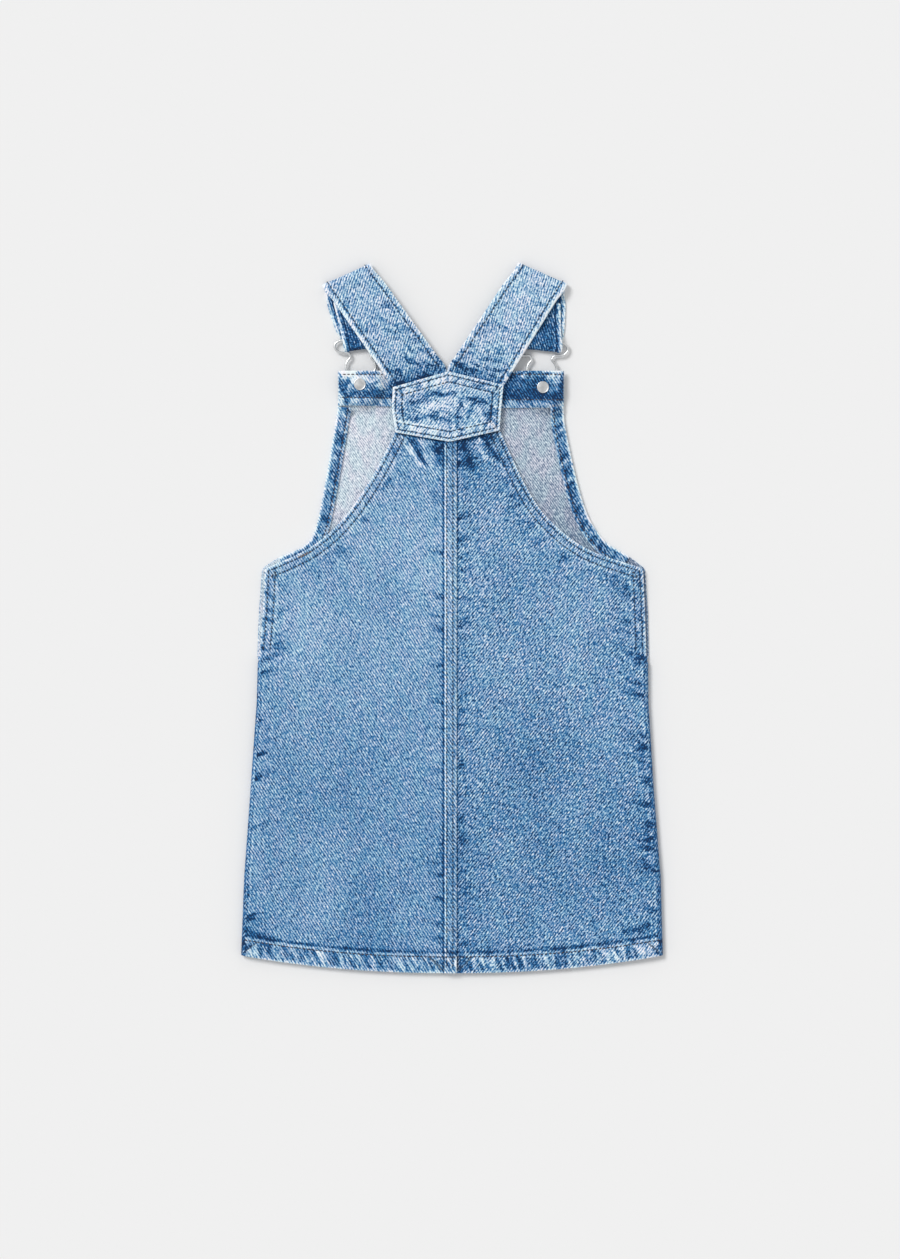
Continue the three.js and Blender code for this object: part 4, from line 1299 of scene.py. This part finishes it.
def stitch_rows(name, lines, material, closer):
    """Rows of stitches along lines of points in metres; closer scales them along the line."""
    cloth = bpy.context.scene.pinafore_cloth
    vertices, edges = [], []
    for line in lines:
        first = len(vertices)
        vertices += [tuple(p) for p in line]
        edges += [(i, i + 1) for i in range(first, len(vertices) - 1)]
    guide = bpy.data.meshes.new(name + " lines")
    guide.from_pydata(vertices, edges, [])
    holder = bpy.data.objects.new(name + "_lines", guide)
    bpy.context.scene.collection.objects.link(holder)
    tree = stitch_tree(material)
    modifier = holder.modifiers.new("Stitches", "NODES")
    modifier.node_group = tree
    values = {"Pitch": closer * cloth.stitch_pitch, "Thread length": closer * cloth.stitch_length,
              "Thread radius": cloth.thread_radius, "Seed": 7}
    for item in tree.interface.items_tree:
        if item.item_type == "SOCKET" and item.in_out == "INPUT" and item.name in values:
            modifier[item.identifier] = values[item.name]
    bpy.context.view_layer.update()
    evaluated = holder.evaluated_get(bpy.context.evaluated_depsgraph_get())
    mesh = bpy.data.meshes.new_from_object(evaluated)
    mesh.name = name
    if not mesh.polygons:
        raise RuntimeError(name + " has no stitches")
    bpy.data.objects.remove(holder)
    obj = bpy.data.objects.new(name, mesh)
    bpy.context.scene.collection.objects.link(obj)
    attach(obj, "root")
    return obj


def inset_line(line, distance, inward, start=0, end=None):
    """A line moved sideways by a distance, inward being +1 to its right and -1 to its left."""
    p = np.asarray(line, float)[start:end]
    t = np.gradient(p, axis=0)
    t /= np.maximum(np.linalg.norm(t, axis=1, keepdims=True), 1e-9)
    n = np.stack([t[:, 1], -t[:, 0]], -1) * inward
    return p + n * distance


def yoke_ring(distance):
    """The yoke's outline moved inward by a distance, closed."""
    corners = [(-1, 0), (0, 0), (1, 0), (1, 0.5), (1, 1), (0, 1), (-1, 1), (-1, 0.5)]
    poly = np.array([yoke_point(u, v) for u, v in corners])
    ring = []
    for i, b in enumerate(poly):
        a, c = poly[i - 1], poly[(i + 1) % len(poly)]
        e0, e1 = (b - a) / np.hypot(*(b - a)), (c - b) / np.hypot(*(c - b))
        n0, n1 = np.array([e0[1], -e0[0]]), np.array([e1[1], -e1[0]])
        m = n0 + n1
        ring.append(b + m * distance / (m @ n0))
    ring.append(ring[0])
    steps = np.linspace(0, 1, 12)[:-1]
    return [a * (1 - s) + b * s for a, b in zip(ring[:-1], ring[1:]) for s in steps] + [ring[0]]


def make_stitches():
    """Every row of stitches that shows, laid on the finished cloth."""
    lift, step = 0.16, 1.5
    seam, hem, bar = [], [], []
    for side in ("left", "right"):
        edge = back_edge_line(side)
        below_yoke = edge[edge[:, 1] < 133]
        for distance in ARMHOLE_ROWS:
            row = inset_line(below_yoke, distance, -SIGN[side], 2)
            seam.append(on_surface("denim_back_" + side, row, lift))
    for offset in LAP_ROWS:
        row = [(LAP_LEFT + offset, y) for y in np.arange(-243, 128, step)]
        seam.append(on_surface("denim_back_left", row, lift))
    for x0, x1, side in ((-144, LAP_RIGHT - 0.4, "left"), (LAP_RIGHT + 1.5, 144, "right")):
        row = [(x, hem_at(x) + HEM_DEPTH) for x in np.arange(x0, x1, step)]
        hem.append(on_surface("denim_back_" + side, row, lift))
    for distance in YOKE_ROWS:
        seam.append(on_surface("denim_yoke", yoke_ring(distance), lift))
    for side in ("left", "right"):
        back, shoulder = STRAPS[side]["back"][2:], STRAPS[side]["shoulder"]
        arm = np.array([a for a, _, _ in back] + [shoulder[0]], float)
        neck = np.array([n for _, n, _ in back] + [shoulder[1]], float)
        for a, b in ((arm, neck), (neck, arm)):
            across = (b - a) / np.linalg.norm(b - a, axis=1, keepdims=True)
            row = chord_curve(a + across * STRAP_ROW, step)
            seam.append(on_surface("denim_strap_" + side, row[2:], lift))
    us = np.linspace(-0.97, 0.97, 110)
    for row in ([(u * 78.5, facing_foot(u) + 5.5) for u in us], [(u * 77.5, BIB_TOP - 2.2) for u in us]):
        hem.append(on_surface("bib_facing", row, lift))
    for side in ("left", "right"):
        row = inset_line(BIB[side], BIB_HEM_ROW, -SIGN[side], 18)
        row = row[(row[:, 1] < 145) & (row[:, 1] > 42)]
        hem.append(on_surface("bib_turned_edge_" + side, row, lift))
    for distance in (1.4, 2.4):
        row = inset_line(back_edge_line("left"), distance, -SIGN["left"], 2)
        bar.append(on_surface("denim_back_left", row[(row[:, 1] > 42) & (row[:, 1] < 46)], 0.25))
    for name, rows, material, closer in (("stitches_seams", seam, "seam thread", 1.0),
                                         ("stitches_hems", hem, "hem thread", 1.0),
                                         ("stitches_bartack", bar, "bar thread", 0.45)):
        stitch_rows(name, [row for row in rows if len(row) > 1], material, closer)


# ---------------------------------------------------------------- stage
def plain_material(name, colour, roughness=0.9):
    """A plain matt finish."""
    material = bpy.data.materials.new(name)
    material.use_nodes = True
    shader = material.node_tree.nodes["Principled BSDF"]
    shader.inputs["Base Color"].default_value = (*colour, 1)
    shader.inputs["Roughness"].default_value = roughness
    shader.inputs["Specular IOR Level"].default_value = 0.1
    return material


class PinaforeStage(bpy.types.PropertyGroup):
    """Floor, light and camera"""
    floor_tone: FloatProperty(name="Floor tone", description="How pale the floor under the dress is",
                              default=0.83, min=0, max=1, subtype="FACTOR")
    sky_strength: FloatProperty(name="Sky strength", description="Even light from all round",
                                default=0.62, min=0)
    sun_strength: FloatProperty(name="Sun strength", description="Soft light from the upper left",
                                default=1.75, min=0)
    sun_spread: FloatProperty(name="Sun spread", description="How soft the shadows are",
                              default=math.radians(22), subtype="ANGLE", unit="ROTATION")
    camera_height: FloatProperty(name="Camera height", description="Height of the camera straight above",
                                 default=3.0, min=0.5, subtype="DISTANCE", unit="LENGTH")
    view_length: FloatProperty(name="View length", description="Floor from top to bottom of the view",
                               default=0.8813, min=0.1, subtype="DISTANCE", unit="LENGTH")
    view_centre: FloatVectorProperty(name="View centre", description="Point on the floor under the camera",
                                     size=2, default=(-0.0014, -0.0084), subtype="XYZ", unit="LENGTH")


def make_stage(sizes):
    """The floor, an even sky, one soft sun and the camera straight above."""
    scene = bpy.context.scene
    floor = bpy.data.meshes.new("floor")
    reach, below = 6.0, -0.0004
    corners = [(-reach, -reach, below), (reach, -reach, below), (reach, reach, below), (-reach, reach, below)]
    floor.from_pydata(corners, [], [(0, 1, 2, 3)])
    tone = sizes.floor_tone
    floor.materials.append(plain_material("pale floor", (tone, tone, tone)))
    floor_object = bpy.data.objects.new("floor", floor)
    scene.collection.objects.link(floor_object)
    world = bpy.data.worlds.new("even sky")
    scene.world = world
    world.use_nodes = True
    sky = world.node_tree.nodes["Background"]
    sky.inputs["Color"].default_value = (1, 1, 1, 1)
    sky.inputs["Strength"].default_value = sizes.sky_strength
    sun = bpy.data.lights.new("soft sun", "SUN")
    sun.energy = sizes.sun_strength
    sun.angle = sizes.sun_spread
    sun_object = bpy.data.objects.new("soft sun", sun)
    sun_object.rotation_euler = Vector((0.55, -0.5, -0.9)).to_track_quat("-Z", "Y").to_euler()
    scene.collection.objects.link(sun_object)
    camera = bpy.data.cameras.new("camera above")
    camera.sensor_fit = "VERTICAL"
    camera.sensor_height = 36
    camera.lens = 36 * sizes.camera_height / sizes.view_length
    camera.clip_end = 50
    camera_object = bpy.data.objects.new("camera above", camera)
    camera_object.location = (*sizes.view_centre, sizes.camera_height)
    scene.collection.objects.link(camera_object)
    scene.camera = camera_object
    scene.view_settings.view_transform = "Standard"


# ---------------------------------------------------------------- operators and panel
class PINAFORE_OT_front(bpy.types.Operator):
    """Make the front panel with its bib"""
    bl_idname = "pinafore.front"
    bl_label = "Front panel"

    def execute(self, context):
        SURFACES["denim_front"] = surface_of(make_front())
        return {"FINISHED"}


class PINAFORE_OT_bib_edges(bpy.types.Operator):
    """Make the bib's facing and its turned armhole edges"""
    bl_idname = "pinafore.bib_edges"
    bl_label = "Bib facing and edges"

    def execute(self, context):
        for obj in (make_facing(), make_bib_edge("left"), make_bib_edge("right")):
            SURFACES[obj.name] = surface_of(obj)
        return {"FINISHED"}


class PINAFORE_OT_backs(bpy.types.Operator):
    """Make the two back panels"""
    bl_idname = "pinafore.backs"
    bl_label = "Back panels"

    def execute(self, context):
        for side in ("left", "right"):
            obj = make_back(side)
            SURFACES[obj.name] = surface_of(obj)
        return {"FINISHED"}


class PINAFORE_OT_yoke(bpy.types.Operator):
    """Make the back yoke"""
    bl_idname = "pinafore.yoke"
    bl_label = "Back yoke"

    def execute(self, context):
        SURFACES["denim_yoke"] = surface_of(make_yoke())
        return {"FINISHED"}


class PINAFORE_OT_straps(bpy.types.Operator):
    """Make the two straps"""
    bl_idname = "pinafore.straps"
    bl_label = "Straps"

    def execute(self, context):
        for side in ("left", "right"):
            obj = make_strap(side)
            SURFACES[obj.name] = surface_of(obj)
        return {"FINISHED"}


class PINAFORE_OT_metal(bpy.types.Operator):
    """Make the wire buckles and the buttons they hook on"""
    bl_idname = "pinafore.metal"
    bl_label = "Buckles and buttons"

    def execute(self, context):
        for side in ("left", "right"):
            make_buckle(side)
            make_button(side)
        return {"FINISHED"}


class PINAFORE_OT_stitches(bpy.types.Operator):
    """Sew the rows of stitches"""
    bl_idname = "pinafore.stitches"
    bl_label = "Stitches"

    def execute(self, context):
        make_stitches()
        return {"FINISHED"}


class PINAFORE_OT_stage(bpy.types.Operator):
    """Make the floor, the light and the camera"""
    bl_idname = "pinafore.stage"
    bl_label = "Stage"

    def execute(self, context):
        make_stage(context.scene.pinafore_stage)
        return {"FINISHED"}


class PINAFORE_PT_panel(bpy.types.Panel):
    """Everything that the pinafore is made of"""
    bl_label = "Denim pinafore"
    bl_idname = "PINAFORE_PT_panel"
    bl_space_type = "VIEW_3D"
    bl_region_type = "UI"
    bl_category = "Pinafore"

    def draw(self, context):
        for operator in OPERATORS:
            self.layout.operator(operator.bl_idname)
        for group in (context.scene.pinafore_cloth, context.scene.pinafore_stage):
            for name in type(group).__annotations__:
                self.layout.prop(group, name)


OPERATORS = (PINAFORE_OT_front, PINAFORE_OT_bib_edges, PINAFORE_OT_backs, PINAFORE_OT_yoke,
             PINAFORE_OT_straps, PINAFORE_OT_metal, PINAFORE_OT_stitches, PINAFORE_OT_stage)
CLASSES = (PinaforeCloth, PinaforeStage, *OPERATORS, PINAFORE_PT_panel)


def register():
    """Add the settings, operators and panel."""
    for cls in CLASSES:
        bpy.utils.register_class(cls)
    bpy.types.Scene.pinafore_cloth = PointerProperty(type=PinaforeCloth)
    bpy.types.Scene.pinafore_stage = PointerProperty(type=PinaforeStage)


def unregister():
    """Take them away again."""
    del bpy.types.Scene.pinafore_stage
    del bpy.types.Scene.pinafore_cloth
    for cls in reversed(CLASSES):
        bpy.utils.unregister_class(cls)


def main():
    """Make the whole dress and its stage."""
    register()
    for operator in OPERATORS:
        group, name = operator.bl_idname.split(".")
        getattr(getattr(bpy.ops, group), name)()


if __name__ == "__main__":
    main()
